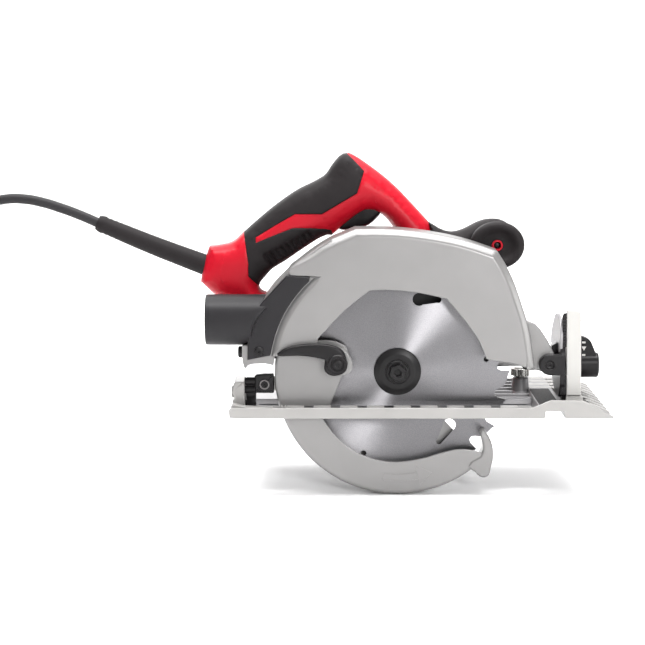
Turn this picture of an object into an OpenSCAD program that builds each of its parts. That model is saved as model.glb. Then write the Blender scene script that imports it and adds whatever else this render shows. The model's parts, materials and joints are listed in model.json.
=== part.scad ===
// Corded circular saw, 190 mm blade, built as an assembly.
// The origin lies on the shoe's sole, under the arbor, in the plane of the blade.
// +X is the cutting direction, +Y runs from the blade towards the motor, +Z is up.

/* [Blade] */
// Diameter over the tooth tips
blade_d = 190; // [188:1:192]
// Number of teeth
teeth = 24; // [18:1:30]
// Thickness of the blade's steel plate
plate_t = 1.6; // [1.4:0.1:1.8]
// Width of the carbide tips
kerf = 2.4; // [2.2:0.1:2.6]
// Deepest square cut
cut_depth = 60; // [58:1:61]

/* [Guards] */
// Outer radius of the moving lower guard
lower_r = 104; // [103:0.5:104.5]
// Radius of the hollow inside the fixed upper guard
upper_cavity_r = 106.5; // [106:0.5:108]
// Wall thickness of the lower guard
lower_wall = 2; // [1.8:0.1:2.2]

/* [Shoe] */
// Length of the shoe along the cut
shoe_len = 321; // [318:1:324]
// Thickness of the shoe's sheet
shoe_t = 3; // [2.8:0.1:3.2]
// Height of the shoe's near rail
rail_h = 9; // [8:0.5:9.5]

/* [Drive] */
// Gear module
gear_m = 1.2; // [1.19:0.01:1.21]

/* [Cord] */
// Diameter of the mains lead
cord_d = 8.5; // [8:0.1:8.8]

/* [Hidden] */
$fn = 96;
eps = 0.01;

arbor_z = blade_d / 2 - cut_depth;
blade_r = blade_d / 2;
tooth_pitch = 360 / teeth;

// Upper guard, from its near face to its far face
guard_y0 = -18;
guard_y1 = 16;
guard_skin = 2.5;

// Teeth on the spindle gear and on the armature pinion
gear_teeth = 41;
pinion_teeth = 9;

// Armature axis, above and behind the arbor
centre_distance = gear_m * (gear_teeth + pinion_teeth) / 2;
motor_x = -14;
motor_z = arbor_z + sqrt(centre_distance * centre_distance - motor_x * motor_x);
motor_r = 46;
motor_y0 = 50;
motor_y1 = 152;
brush_y = 129;

// Depth pivot at the front, bevel axis just above the sole
pivot_x = 128;
pivot_z = 42;
bevel_z = 8;
arm_r = 206;
depth_travel = 25;
bevel_travel = 45;
pin_r = 2.5;
ear_r = 4.7;
bolt_angle = 179;
bolt_x = pivot_x + arm_r * cos(bolt_angle);
bolt_z = pivot_z + arm_r * sin(bolt_angle);
clamp_at = [-112.5, 25];

// Bevel lock bolt
lock_r = 50;
lock_angle = 56;
lock_y = lock_r * sin(lock_angle);
lock_z = bevel_z + lock_r * cos(lock_angle);

// Shoe
shoe_x0 = -141;
shoe_x1 = shoe_x0 + shoe_len;
shoe_y0 = -32.5;
shoe_y1 = 138;
slot_y0 = -20.5;
slot_y1 = 25;
slot_x0 = -122;
slot_x1 = 118;
fence_x0 = 123;
fence_x1 = 138;

// Handle halves, split on the handle's middle plane
handle_y = 45;
handle_half = 19;

// Dust nozzle
nozzle_y = -2;
nozzle_z = 79.5;
nozzle_r = 21.5;
nozzle_bore_r = 18;
nozzle_screw_at = [-117, 54];
rear_screw_z = 52;

// Trigger pivot
trig_x = -21;
trig_z = 171;

// Lock-off button
lock_off_x = -44;
lock_off_z = 184;

// Screws that hold the handle's halves together
handle_screw_at = [[-148, 118], [-90, 92], [-72, 156], [10, 150]];

// Front handle axis
aux_x = 85.5;
aux_z = 140;

// Mains lead: the free stretch's points, from the sleeve's tip down to the coil
floor_z = arbor_z - lower_r;
cord_r = cord_d / 2;
lie_z = floor_z + cord_r;
coil_x = -437;
coil_y = 120;
coil_mid_r = 50;
cord_route = [
    [-256, 45, 157], [-272, 45, 164], [-288, 45, 170], [-304, 45, 175], [-320, 45, 178],
    [-336, 45, 178], [-351, 45, 174], [-364, 45, 165], [-374, 45, 152], [-381, 45, 136],
    [-385, 45, 117], [-387, 45, 96], [-388, 45, 75], [-388, 45, 54], [-388, 46, 33],
    [-388, 47, 12], [-389, 48, -8], [-392, 49, -26], [-397, 50, -42], [-405, 51, -54],
    [-416, 51.5, -61], [-428, 52, lie_z], [-440, 52, lie_z]];

// Points on a circular arc
function arc(cx, cz, r, a0, a1, n) =
    [for (i = [0:n]) let (a = a0 + (a1 - a0) * i / n) [cx + r * cos(a), cz + r * sin(a)]];

function polar(r, a) = [r * cos(a), r * sin(a)];

// Extrudes an outline drawn in X and Z from y0 to y1
module slab(y0, y1) {
    translate([0, y1, 0]) rotate([90, 0, 0]) linear_extrude(y1 - y0) children();
}

module rod_y(r, y0, y1, x, z) {
    translate([x, y0, z]) rotate([-90, 0, 0]) cylinder(r = r, h = y1 - y0);
}

module rod_x(r, x0, x1, y, z) {
    translate([x0, y, z]) rotate([0, 90, 0]) cylinder(r = r, h = x1 - x0);
}

module rod_z(r, z0, z1, x, y) {
    translate([x, y, z0]) cylinder(r = r, h = z1 - z0);
}

// Turns a profile of [radius, y] points about an axis along Y
module turned_y(x, z) {
    translate([x, 0, z]) rotate([-90, 0, 0]) rotate_extrude() children();
}

module box(x0, x1, y0, y1, z0, z1) {
    translate([x0, y0, z0]) cube([x1 - x0, y1 - y0, z1 - z0]);
}

// Screw with its axis along Y: head of radius hr from y0 to y1 and shank on to y2
module screw_y(x, z, hr, y0, y1, sr, y2) {
    socket_r = hr * 0.45;
    difference() {
        rod_y(hr, y0, y1, x, z);
        rod_y(socket_r, y0 - 1, y0 + (y1 - y0) * 0.6, x, z);
    }
    rod_y(sr, y1 - eps, y2, x, z);
}

// Spur gear outline with straight flanks, one tooth centred on angle a0
module gear_outline(n, m, a0) {
    pitch_r = n * m / 2;
    tip_r = pitch_r + 0.85 * m;
    root_r = pitch_r - 1.15 * m;
    step = 360 / n;
    polygon([for (i = [0:n - 1], k = [0:3])
        let (r = k == 0 || k == 3 ? root_r : tip_r,
             h = k == 0 || k == 3 ? 0.30 : 0.11,
             s = k < 2 ? -1 : 1)
        polar(r, a0 + step * (i + s * h))]);
}

// A coiled wire about an axis along Y
module coil_y(x, z, r, wire_r, y0, y1, turns) {
    n = 12;
    sides = 6;
    rings = turns * n;
    pts = [for (i = [0:rings], j = [0:sides - 1])
        let (a = 360 * i / n, b = 360 * j / sides, rr = r + wire_r * cos(b))
        [x + rr * cos(a), y0 + (y1 - y0) * i / rings + wire_r * sin(b), z + rr * sin(a)]];
    walls = [for (i = [0:rings - 1], j = [0:sides - 1])
        let (k = (j + 1) % sides)
        [i * sides + j, i * sides + k, (i + 1) * sides + k, (i + 1) * sides + j]];
    start = [[for (j = [0:sides - 1]) sides - 1 - j]];
    finish = [[for (j = [0:sides - 1]) rings * sides + j]];
    polyhedron(concat(pts), concat(walls, start, finish));
}

// Ball bearing with its axis along Y, its races and balls as separate solids
module bearing_y(x, z, bore_r, outer_r, y0, w) {
    mid_r = (bore_r + outer_r) / 2;
    race = (outer_r - bore_r) * 0.27;
    ball_r = (outer_r - bore_r) * 0.2;
    turned_y(x, z) translate([outer_r - race, y0]) square([race, w]);
    turned_y(x, z) translate([bore_r + 0.02, y0]) square([race, w]);
    for (a = [0:60:359])
        translate([x + mid_r * cos(a), y0 + w / 2, z + mid_r * sin(a)]) sphere(r = ball_r);
}

// ---- Fixed head ----

guard_front = [[115, 37], [115, 40], [109, 76], [103, 95], [96, 115], [91, 126], [82, 141]];
guard_top = [[56, 150], [24, 157], [-6, 160], [-16, 159.5], [-40, 160], [-58, 151]];
guard_rear = [[-93, 122], [-108, 107], [-117, 90], [-122, 72], [-126, 60], [-131, 59], [-131, 46],
    [-128, 39], [-124, 45], [-107, 49], [-80, 50], [-62, 48]];

module guard_outline() {
    polygon(concat(guard_front, guard_top, guard_rear,
        [[-62, 38], [-60, 36], [74, 36], [92, 37]]));
}

// The opening in the near wall that shows the blade
module guard_window() {
    polygon(concat([[-62, 30], [-68, 61], [-59, 74], [-46, 88], [-24, 106], [-10, 106.5]],
        [[4, 105.5], [22, 103], [40, 99], [56, 80], [67, 64], [74, 48]],
        [[92, 45], [109, 44], [120, 40], [120, 30]]));
}

// Fixed guard: a hollow casting open below, with a window in its near wall
module upper_guard() {
    color("silver") difference() {
        union() {
            slab(guard_y0, guard_y0 + 2) offset(delta = -3) guard_outline();
            slab(guard_y0 + 2 - eps, guard_y1) guard_outline();
            rod_y(7.5, -3.5, 15.5, pivot_x, pivot_z);
            box(108, pivot_x, -3.5, 15.5, pivot_z - 7.5, pivot_z + 7.5);
        }
        slab(guard_y0 - 1, guard_y0 + guard_skin) guard_window();
        rod_y(upper_cavity_r, guard_y0 + guard_skin, 13, 0, arbor_z);
        box(-106, 106, guard_y0 + guard_skin, 13, 20, arbor_z);
        box(-62, 90, guard_y0 - 1, 13, 20, 40);
        rod_y(28, 12, 17, 0, arbor_z);
        rod_x(nozzle_bore_r, -140, -92, nozzle_y, nozzle_z);
        rod_y(4.05, -10, 20, pivot_x, pivot_z);
        rod_y(3.1, guard_y0 - 1, guard_y0 + 12, nozzle_screw_at.x, nozzle_screw_at.y);
        rod_x(2.6, -140, -120, nozzle_y, rear_screw_z);
        rod_y(3, 10, 20, bolt_x, bolt_z);
    }
}

module case_outline(inset) {
    hull() {
        translate([0, arbor_z]) circle(r = 31 - inset, $fn = 64);
        translate([motor_x, motor_z]) circle(r = motor_r - inset, $fn = 64);
    }
}

// Holds the spindle's near bearing in its nose, where the lower guard turns
module gear_case() {
    color("silver") difference() {
        union() {
            slab(16, 50) case_outline(0);
            rod_y(25.5, 6, 16 + eps, 0, arbor_z);
            rod_x(9, 26, 38, 28, arbor_z);
        }
        slab(21, 51) case_outline(3.5);
        rod_y(17.5, 8, 22, 0, arbor_z);
        rod_y(9.5, 5, 9, 0, arbor_z);
        rod_x(5.05, 20, 40, 28, arbor_z);
    }
}

// Plate between the gear case and the motor, with both inner bearings
module bearing_plate() {
    color("gainsboro") difference() {
        slab(38, 50) case_outline(3.5);
        rod_y(13, 30, 46, 0, arbor_z);
        rod_y(11, 43, 51, motor_x, motor_z);
        rod_y(6, 30, 51, motor_x, motor_z);
    }
}

// Round shell of the motor, with air slots and brush bosses
module motor_housing() {
    color("firebrick") difference() {
        union() {
            rod_y(motor_r, motor_y0, motor_y1, motor_x, motor_z);
            for (s = [-1, 1]) rod_x(9, motor_x + s * 47 - 5, motor_x + s * 47 + 5, brush_y, motor_z);
        }
        rod_y(motor_r - 4, motor_y0 - 1, motor_y1 + 1, motor_x, motor_z);
        rod_x(6, motor_x - 60, motor_x + 60, brush_y, motor_z);
        for (a = [0:15:345])
            translate([motor_x, 0, motor_z]) rotate([0, a, 0])
                translate([-1.5, 54, 30]) cube([3, 8, 30]);
    }
}

// Slotted end of the motor, with the spider that holds the outer bearing
module motor_end_cap() {
    color("dimgray") difference() {
        turned_y(motor_x, motor_z)
            polygon([[0, motor_y1], [motor_r, motor_y1], [motor_r, 160], [42, 166],
                [30, 168], [0, 168]]);
        rod_y(motor_r - 6, motor_y1 - 1, 163, motor_x, motor_z);
        for (x = [-24:8:24])
            box(motor_x + x - 2, motor_x + x + 2, 160, 170, motor_z - 18, motor_z + 18);
        motor_screw_holes();
    }
    color("dimgray") difference() {
        union() {
            rod_y(15, 146, 164, motor_x, motor_z);
            box(motor_x - 41, motor_x + 41, 158, 164, motor_z - 30, motor_z - 22);
            box(motor_x - 41, motor_x + 41, 158, 164, motor_z + 22, motor_z + 30);
            box(motor_x - 4, motor_x + 4, 158, 164, motor_z - 41, motor_z + 41);
        }
        rod_y(9.5, 145, 153, motor_x, motor_z);
        motor_screw_holes();
    }
}

module motor_screw_holes() {
    for (a = [45:90:315])
        rod_y(3, 140, 180, motor_x + 36 * cos(a), motor_z + 36 * sin(a));
}

module field_core() {
    color("slategray") difference() {
        rod_y(41.9, 72, 112, motor_x, motor_z);
        rod_y(24, 71, 113, motor_x, motor_z);
        for (s = [-1, 1])
            box(motor_x + s * 33 - 4, motor_x + s * 33 + 4, 71, 113, motor_z - 16, motor_z + 16);
    }
}

module field_coils() {
    color("peru") for (y = [66, 112])
        turned_y(motor_x, motor_z) translate([26, y]) square([12, 6]);
}

module brush_holders() {
    color("goldenrod") for (s = [-1, 1]) difference() {
        rod_x(5.9, min(s * 15, s * 50) + motor_x, max(s * 15, s * 50) + motor_x, brush_y, motor_z);
        box(min(s * 14, s * 46) + motor_x, max(s * 14, s * 46) + motor_x,
            126, 132, motor_z - 3.5, motor_z + 3.5);
        box(motor_x + s * 49 - 1.5, motor_x + s * 49 + 1.5, 125, 133, motor_z - 0.6, motor_z + 0.6);
    }
}

module brush_springs() {
    color("silver") for (s = [-1, 1])
        translate([motor_x, brush_y, motor_z]) rotate([0, 0, -90]) coil_y(0, 0, 2, 0.4, s * 29, s * 45, 4);
}

module carbon_brushes() {
    color("#2b2b2b") for (s = [-1, 1])
        box(min(s * 13.3, s * 28) + motor_x, max(s * 13.3, s * 28) + motor_x,
            126.1, 131.9, motor_z - 3.4, motor_z + 3.4);
}

module armature_bearings() {
    color("lightsteelblue") {
        bearing_y(motor_x, motor_z, 4, 11, 43, 7);
        bearing_y(motor_x, motor_z, 3.5, 9.5, 146, 6);
    }
}

module spindle_bearings() {
    color("lightsteelblue") {
        bearing_y(0, arbor_z, 7.5, 17.5, 8.5, 11);
        bearing_y(0, arbor_z, 5, 13, 38, 8);
    }
}

// Side outline of the handle and of the rear housing
handle_top = [[-169, 107], [-165.5, 124], [-161, 137], [-148, 140], [-142, 142], [-132, 150], [-119, 161],
    [-99, 176.5], [-84, 187], [-68, 195], [-60, 200], [-56, 206], [-52, 212], [-46, 217], [-42, 218],
    [-37, 216], [-26, 209], [-3, 191], [16, 170], [28, 158], [32, 140], [30, 96]];
handle_bottom = [[-52, 80], [-110, 82], [-150, 90], [-158, 95]];
hand_hole = [[-116, 105], [-107, 117], [-88, 130], [-74, 140], [-64, 147], [-58, 147], [-52, 150],
    [-40, 158], [-26, 168], [-17, 167], [-4, 155], [2, 142], [-2, 127], [-40, 116], [-62, 103], [-80, 99]];

module handle_profile() {
    difference() {
        polygon(concat(handle_top, handle_bottom));
        polygon(hand_hole);
    }
}

// Clearance cut for the trigger inside the handle
module trigger_slot() {
    slab(36.5, 53.5)
        polygon([[-57, 145], [-57, 158], [-44, 176], [-30, 184], [-14, 178], [-13, 160], [-40, 150]]);
}

module handle_inside(y0, y1) {
    slab(y0, y1) offset(delta = -4) difference() {
        polygon(concat(handle_top, handle_bottom));
        offset(delta = 1) polygon(hand_hole);
    }
}

// Recess all round the grip that the rubber cover lies in
module grip_zone() {
    polygon([[-128, 151], [-119, 161], [-99, 176.5], [-84, 187], [-68, 195], [-60, 200], [-56, 206],
        [-52, 212], [-46, 217], [-30, 200], [-34, 184], [-64, 167], [-87, 167], [-119, 148]]);
}

module handle_half_shell() {
    difference() {
        union() {
            slab(handle_y - handle_half, handle_y - 16) offset(delta = -5) handle_profile();
            slab(handle_y - 16 - eps, handle_y - 11) offset(delta = -1.6) handle_profile();
            slab(handle_y - 11 - eps, handle_y) handle_profile();
        }
        handle_inside(handle_y - 13.5, handle_y + 1);
        trigger_slot();
        rod_y(2, 31, 59, trig_x, trig_z);
        rod_y(4.2, 31, 40, trig_x, trig_z);
        rod_y(motor_r, 20, 80, motor_x, motor_z);
        slab(handle_y - 20, handle_y - 16.4) grip_zone();
        translate([-166, handle_y, 122]) rotate([0, -112, 0]) cylinder(r = 8.9, h = 40, center = true);
    }
}

module handle_near() {
    color("crimson") handle_half_shell();
}

module handle_far() {
    color("crimson") difference() {
        translate([0, 2 * handle_y, 0]) mirror([0, 1, 0]) handle_half_shell();
        rod_y(6.05, 55, 66, lock_off_x, lock_off_z);
        for (p = handle_screw_at) {
            rod_y(3.6, 62, 66, p.x, p.y);
            rod_y(1.8, 50, 63, p.x, p.y);
        }
    }
}

// Soft covers on both sides of the grip
module grip_cover() {
    color("#2a2a2a") for (y = [[handle_y - 19.4, handle_y - 16.4], [handle_y + 16.4, handle_y + 19.4]])
        difference() {
            slab(y[0], y[1]) offset(delta = -0.1) intersection() {
                grip_zone();
                offset(delta = -1) handle_profile();
            }
            rod_y(6.3, 55, 70, lock_off_x, lock_off_z);
        }
}

module switch_body() {
    color("#303030") box(-90, -62, 35, 55, 158, 176);
}

module trigger_pin() {
    color("silver") rod_y(2, 31, 59, trig_x, trig_z);
}

module trigger_spring() {
    color("silver") coil_y(trig_x, trig_z, 3.2, 0.4, 32, 36, 3);
}

// Front grip about an axis along Y, with its neck to the main handle
module aux_handle() {
    color("#3a383a") difference() {
        union() {
            turned_y(aux_x, aux_z)
                polygon([[0, 22], [13, 22], [16, 18], [20, 18], [22.5, 21], [23.5, 30], [22, 52],
                    [22, 70], [24, 88], [23, 98], [17, 104], [0, 105]]);
            slab(26, 56)
                polygon([[26, 98], [27.9, 157], [35, 154], [47, 150], [58, 153], [66, 158],
                    [76, 161], [80, 132], [60, 116], [44, 98]]);
        }
        rod_y(motor_r, 20, 80, motor_x, motor_z);
        slab(25, 65) polygon(concat(handle_top, handle_bottom));
        rod_y(4.75, 17, 30, aux_x, aux_z);
    }
}

module aux_handle_ring() {
    color("crimson") difference() {
        rod_y(4.75, 20.5, 30, aux_x, aux_z);
        rod_y(3, 20, 27, aux_x, aux_z);
    }
}

// Dust outlet: a tube along X with its curved mounting plate
module dust_nozzle() {
    color("#454245") difference() {
        union() {
            rod_x(nozzle_r, -162, -104, nozzle_y, nozzle_z);
            slab(-20.5, guard_y0) polygon(concat([[-90, 117]],
                arc(0, arbor_z, 107.5, 131, 171, 12),
                [[-126, 47], [-126, 60], [-121, 74], [-108, 104]]));
        }
        slab(guard_y0, guard_y1) guard_outline();
        rod_y(107.5, -30, 20, 0, arbor_z);
        rod_x(nozzle_bore_r, -170, -90, nozzle_y, nozzle_z);
        rod_y(3.1, -24, -14, nozzle_screw_at.x, nozzle_screw_at.y);
    }
}

module nozzle_screws() {
    color("#202020") {
        screw_y(nozzle_screw_at.x, nozzle_screw_at.y, 5, -22.5, -20.5, 3.1, -8);
        rod_x(5, -135, -131, nozzle_y, rear_screw_z);
        rod_x(2.6, -131 - eps, -121, nozzle_y, rear_screw_z);
    }
}

module handle_screws() {
    color("#202020") for (p = handle_screw_at) {
        rod_y(3.6, 62, 64.2, p.x, p.y);
        rod_y(1.8, 58, 62 + eps, p.x, p.y);
    }
}

module motor_screws() {
    color("#202020") for (a = [45:90:315])
        rod_y(3, 150, 169, motor_x + 36 * cos(a), motor_z + 36 * sin(a));
}

module depth_bolt() {
    color("silver") {
        rod_y(3, 12, 16, bolt_x, bolt_z);
        rod_y(3.9, 16, 26, bolt_x, bolt_z);
        rod_y(3, 26 - eps, 40, bolt_x, bolt_z);
    }
}

module guard_spring() {
    color("silver") coil_y(0, arbor_z, 27.1, 0.5, 12, 15, 2);
}

// ---- Mains lead ----

function sub3(a, b) = [a.x - b.x, a.y - b.y, a.z - b.z];

// Two directions square to the route at its point i
function ring_frame(route, i) =
    let (n = len(route),
         a = route[max(i - 1, 0)],
         b = route[min(i + 1, n - 1)],
         d = sub3(b, a),
         t = d / norm(d),
         s = cross(t, [0, 1, 0]),
         side = norm(s) < eps ? [1, 0, 0] : s / norm(s))
    [side, cross(t, side)];

module cord() {
    sides = 10;
    n = len(cord_route);
    pts = [for (i = [0:n - 1], j = [0:sides - 1])
        let (f = ring_frame(cord_route, i), a = 360 * j / sides)
        cord_route[i] + cord_r * (cos(a) * f[0] + sin(a) * f[1])];
    walls = [for (i = [0:n - 2], j = [0:sides - 1])
        let (k = (j + 1) % sides)
        [i * sides + j, i * sides + k, (i + 1) * sides + k, (i + 1) * sides + j]];
    start = [[for (j = [0:sides - 1]) sides - 1 - j]];
    finish = [[for (j = [0:sides - 1]) (n - 1) * sides + j]];
    color("#1c1c1c") polyhedron(pts, concat(walls, start, finish));
}

module cord_sleeve() {
    color("#2a2a2a") {
        hull() {
            translate([-166, handle_y, 122]) rotate([0, -112, 0]) cylinder(r = 8.9, h = 1, $fn = 32);
            translate([-208, handle_y, 137]) rotate([0, -110, 0]) cylinder(r = 8, h = 1, $fn = 32);
        }
        hull() {
            translate([-208, handle_y, 137]) rotate([0, -110, 0]) cylinder(r = 8, h = 1, $fn = 32);
            translate([-255, handle_y, 156.6]) rotate([0, -113.5, 0]) cylinder(r = 7.6, h = 1, $fn = 32);
        }
    }
}

// The coil's outer shape: four turns wide and three high
module cord_coil() {
    half = 2 * cord_d;
    color("#1c1c1c") translate([coil_x, coil_y, floor_z]) rotate_extrude()
        translate([coil_mid_r - half, 0]) square([2 * half, 3 * cord_d]);
}

module cord_tie() {
    half = 2 * cord_d;
    color("#303030") translate([coil_x, coil_y, floor_z]) rotate([0, 0, 25]) difference() {
        box(coil_mid_r - half - 2.4, coil_mid_r + half + 1.6, -6, 6, 0, 3 * cord_d + 1.6);
        box(coil_mid_r - half - 0.9, coil_mid_r + half + 0.1, -7, 7, -1, 3 * cord_d);
    }
}

// The plug lies on the coil, its pins along +Y
plug_x = coil_x - 46;
plug_z = floor_z + 3 * cord_d + 17.1;

module plug_body() {
    color("#1c1c1c") translate([plug_x, coil_y, plug_z]) {
        rotate([-90, 0, 0]) cylinder(r1 = 14, r2 = 17, h = 32);
        rotate([90, 0, 0]) cylinder(r1 = 8, r2 = 6, h = 20);
    }
}

module plug_pins() {
    color("silver") for (s = [-1, 1])
        rod_y(2.4, coil_y + 32, coil_y + 51, plug_x + s * 9.5, plug_z);
}

// ---- Blade and spindle ----

// Angle of one tooth's tip, so that the teeth stand as they do at rest
first_tooth = -15.7;

// Round gullets between teeth with long backs
module blade_outline() {
    tip = blade_r - 0.4;
    gullet = blade_r - 10;
    polygon([for (i = [0:teeth - 1])
        let (a = tooth_pitch * i + first_tooth)
        each [polar(tip, a), polar(tip - 6, a + 0.9), polar(gullet, a + 2.2),
            polar(gullet - 0.6, a + 4), polar(gullet + 1.6, a + 5.8), polar(tip - 4.5, a + 7.2),
            polar(tip - 2.2, a + 9.5), polar(tip - 0.8, a + tooth_pitch - 1.6),
            polar(tip - 0.3, a + tooth_pitch - 0.15)]]);
}

// Expansion cut from the rim, ending in a small hole
module rim_cut(a) {
    hole_r = 76;
    rod_y(2.4, -5, 5, hole_r * cos(a), arbor_z + hole_r * sin(a));
    translate([0, 0, arbor_z]) rotate([0, -a, 0]) box(hole_r, blade_r, -5, 5, -0.7, 0.7);
}

// Teardrop slot in the plate, round at its wide end
module drop_slot(a) {
    wide_r = 64;
    narrow_r = 70;
    rod_y(5.5, -5, 5, wide_r * cos(a), arbor_z + wide_r * sin(a));
    rod_y(2.6, -5, 5, narrow_r * cos(a - 13), arbor_z + narrow_r * sin(a - 13));
    translate([0, 0, arbor_z]) slab(-5, 5)
        polygon([polar(58.7, a), polar(67.6, a - 13.5), polar(72.4, a - 12.5), polar(69.4, a)]);
}

// Plate with brazed carbide tips
module blade() {
    arbor_hole_r = 15;
    color("lightslategray") difference() {
        translate([0, 0, arbor_z]) union() {
            slab(-plate_t / 2, plate_t / 2) blade_outline();
            for (i = [0:teeth - 1]) rotate([0, -first_tooth - i * tooth_pitch, 0])
                box(blade_r - 6.6, blade_r, -kerf / 2, kerf / 2, -0.2, 1.8);
        }
        rod_y(arbor_hole_r, -5, 5, 0, arbor_z);
        for (k = [0:2]) {
            rim_cut(8 + 120 * k);
            drop_slot(73.7 + 120 * k);
        }
    }
}

module inner_flange() {
    color("#303030") difference() {
        union() {
            rod_y(20, plate_t / 2, 5.8, 0, arbor_z);
            rod_y(14.95, -plate_t / 2 + 0.1, plate_t / 2 + eps, 0, arbor_z);
        }
        rod_y(7.5, -5, 7, 0, arbor_z);
    }
}

module outer_flange() {
    color("#252525") difference() {
        turned_y(0, arbor_z)
            polygon([[4.1, -plate_t / 2], [20, -plate_t / 2], [20, -2], [15, -3.6], [4.1, -3.6]]);
        rod_y(4.1, -5, 5, 0, arbor_z);
    }
}

module blade_bolt() {
    color("#252525") difference() {
        union() {
            rod_y(9.5, -4.8, -3.6, 0, arbor_z);
            translate([0, -4.7, arbor_z]) rotate([90, 0, 0]) cylinder(r = 7.6, h = 6.3, $fn = 6);
            rod_y(4.1, -4, 9, 0, arbor_z);
        }
        translate([0, -12, arbor_z]) rotate([-90, 0, 0]) cylinder(r = 3.4, h = 5, $fn = 6);
    }
}

module spindle() {
    color("silver") difference() {
        turned_y(0, arbor_z)
            polygon([[0, -0.5], [7.5, -0.5], [7.5, 20.6], [9.5, 20.6], [9.5, 22.5], [8, 22.5],
                [8, 36], [6.5, 36], [6.5, 37.5], [5, 37.5], [5, 46], [0, 46]]);
        rod_y(4.1, -1, 9, 0, arbor_z);
    }
}

mesh_angle = atan2(motor_z - arbor_z, motor_x);

module driven_gear() {
    color("darkgray") difference() {
        translate([0, 0, arbor_z]) slab(23, 34)
            gear_outline(gear_teeth, gear_m, mesh_angle + 180 / gear_teeth);
        rod_y(8, 20, 40, 0, arbor_z);
        for (a = [0:60:359]) rod_y(3.4, 20, 40, 16 * cos(a), arbor_z + 16 * sin(a));
    }
}

// ---- Armature ----

module armature_shaft() {
    color("silver") turned_y(motor_x, motor_z) polygon([[0, 36], [4, 36], [4, 50.5], [5, 50.5], [5, 142],
        [3.5, 145.5], [3.5, 152], [0, 152]]);
}

module pinion() {
    color("darkgray") translate([motor_x, 0, motor_z])
        slab(22, 36) gear_outline(pinion_teeth, gear_m, mesh_angle + 180);
}

// Laminated core with its winding slots
module armature_core() {
    color("slategray") difference() {
        rod_y(23.4, 74, 110, motor_x, motor_z);
        rod_y(5, 70, 120, motor_x, motor_z);
        for (a = [0:30:359])
            translate([motor_x, 0, motor_z]) rotate([0, a, 0]) box(-1, 1, 70, 120, 12, 30);
    }
}

module commutator() {
    color("peru") difference() {
        rod_y(13, 122, 136, motor_x, motor_z);
        rod_y(5, 120, 140, motor_x, motor_z);
    }
}

// Radial fan between the bearing plate and the field
module cooling_fan() {
    color("#dedede") difference() {
        union() {
            rod_y(36, 51.5, 53, motor_x, motor_z);
            rod_y(9, 53 - eps, 62, motor_x, motor_z);
            for (a = [0:30:359])
                translate([motor_x, 0, motor_z]) rotate([0, a, 0]) box(-0.8, 0.8, 53 - eps, 62, 8.5, 35.5);
        }
        rod_y(5, 50, 70, motor_x, motor_z);
    }
}

// ---- Lower guard ----

guard_start = 165;
guard_end = 314;

// Screw that holds the lifting lever
lever_x = -50;
lever_z = arbor_z + 7.5;

module sector(r, a0, a1, n) {
    polygon(concat([[0, 0]], arc(0, 0, r, a0, a1, n)));
}

module guard_near_wall() {
    polygon(concat(arc(0, 0, lower_r - 0.5, guard_start, guard_end, 36),
        [[72, -88], [76, -87], [81, -68], [79, -60], [73, -49], [70, -55], [72, -69], [59, -66], [45, -66]],
        arc(0, 0, 75.5, 288, 216, 14), [[-57, -28], [-50, -8], [-41, 12], [-44, 22], [-70, 28]]));
}

// Cup that covers the blade from below and swings back about the gear case nose
module lower_guard() {
    rim_in = lower_r - lower_wall;
    color("silver") difference() {
        translate([0, 0, arbor_z]) union() {
            slab(-11.5, -9.5) guard_near_wall();
            slab(-11.5, 10) difference() {
                sector(lower_r, guard_start + 0.6, guard_end - 0.6, 48);
                circle(r = rim_in, $fn = 180);
            }
            slab(8, 10) sector(lower_r - 0.5, guard_start, guard_end, 36);
            slab(-11.5, 10)
                polygon([polar(rim_in - 0.5, 308), polar(lower_r - 0.4, 308), [72, -88], [76, -87],
                    [80.5, -70], [77.5, -71], [73, -80]]);
            rod_y(31, 8, 10, 0, 0);
            rod_y(26.6, 7, 11, 0, 0);
        }
        rod_y(25.56, 0, 20, 0, arbor_z);
    }
    color("silver") difference() {
        rod_y(8, -18.5, -11.5, lever_x, lever_z);
        rod_y(3, -20, -10, lever_x, lever_z);
    }
}

// Thumb lever that lifts the lower guard
module guard_lever() {
    color("#252525") difference() {
        slab(-27, -19.5) polygon([[-101, 54], [-92, 58], [-80, 62], [-69, 63.3], [-55, 62], [-46, 57],
            [-41, 51], [-39.5, 44], [-42, 37.5], [-46, 36], [-58, 36], [-60, 38], [-60.5, 47],
            [-75, 49], [-90, 51], [-101, 51.5]]);
        rod_y(5.2, -28, -24, lever_x, lever_z);
        rod_y(3, -28, -15, lever_x, lever_z);
    }
}

module lever_screw() {
    color("#151515") screw_y(lever_x, lever_z, 4.8, -26.5, -24, 3, -11.5);
}

// ---- Controls ----

module trigger() {
    color("#1c1c1c") difference() {
        slab(38, 52) polygon([[-52, 157], [-49, 150], [-40, 151.5], [-25, 156.5], [-17, 165], [-16, 171],
            [-19, 175.5], [-25, 175], [-34, 170]]);
        rod_y(2.05, 30, 60, trig_x, trig_z);
    }
}

module lock_off_button() {
    color("#1c1c1c") rod_y(6, 59.5, 69, lock_off_x, lock_off_z);
}

module spindle_lock_button() {
    color("#1c1c1c") {
        rod_x(5, 30, 40, 28, arbor_z);
        rod_x(7.5, 40 - eps, 45, 28, arbor_z);
    }
}

// Clamping lever on the depth bolt
module depth_lever() {
    color("#252525") difference() {
        union() {
            rod_y(9, 28, 39, bolt_x, bolt_z);
            slab(31, 37) polygon([[bolt_x - 6, bolt_z + 4], [bolt_x - 34, bolt_z + 16],
                [bolt_x - 38, bolt_z + 10], [bolt_x - 34, bolt_z + 6], [bolt_x - 4, bolt_z - 7]]);
        }
        rod_y(3.05, 20, 50, bolt_x, bolt_z);
    }
}

// ---- Depth carrier ----

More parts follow.
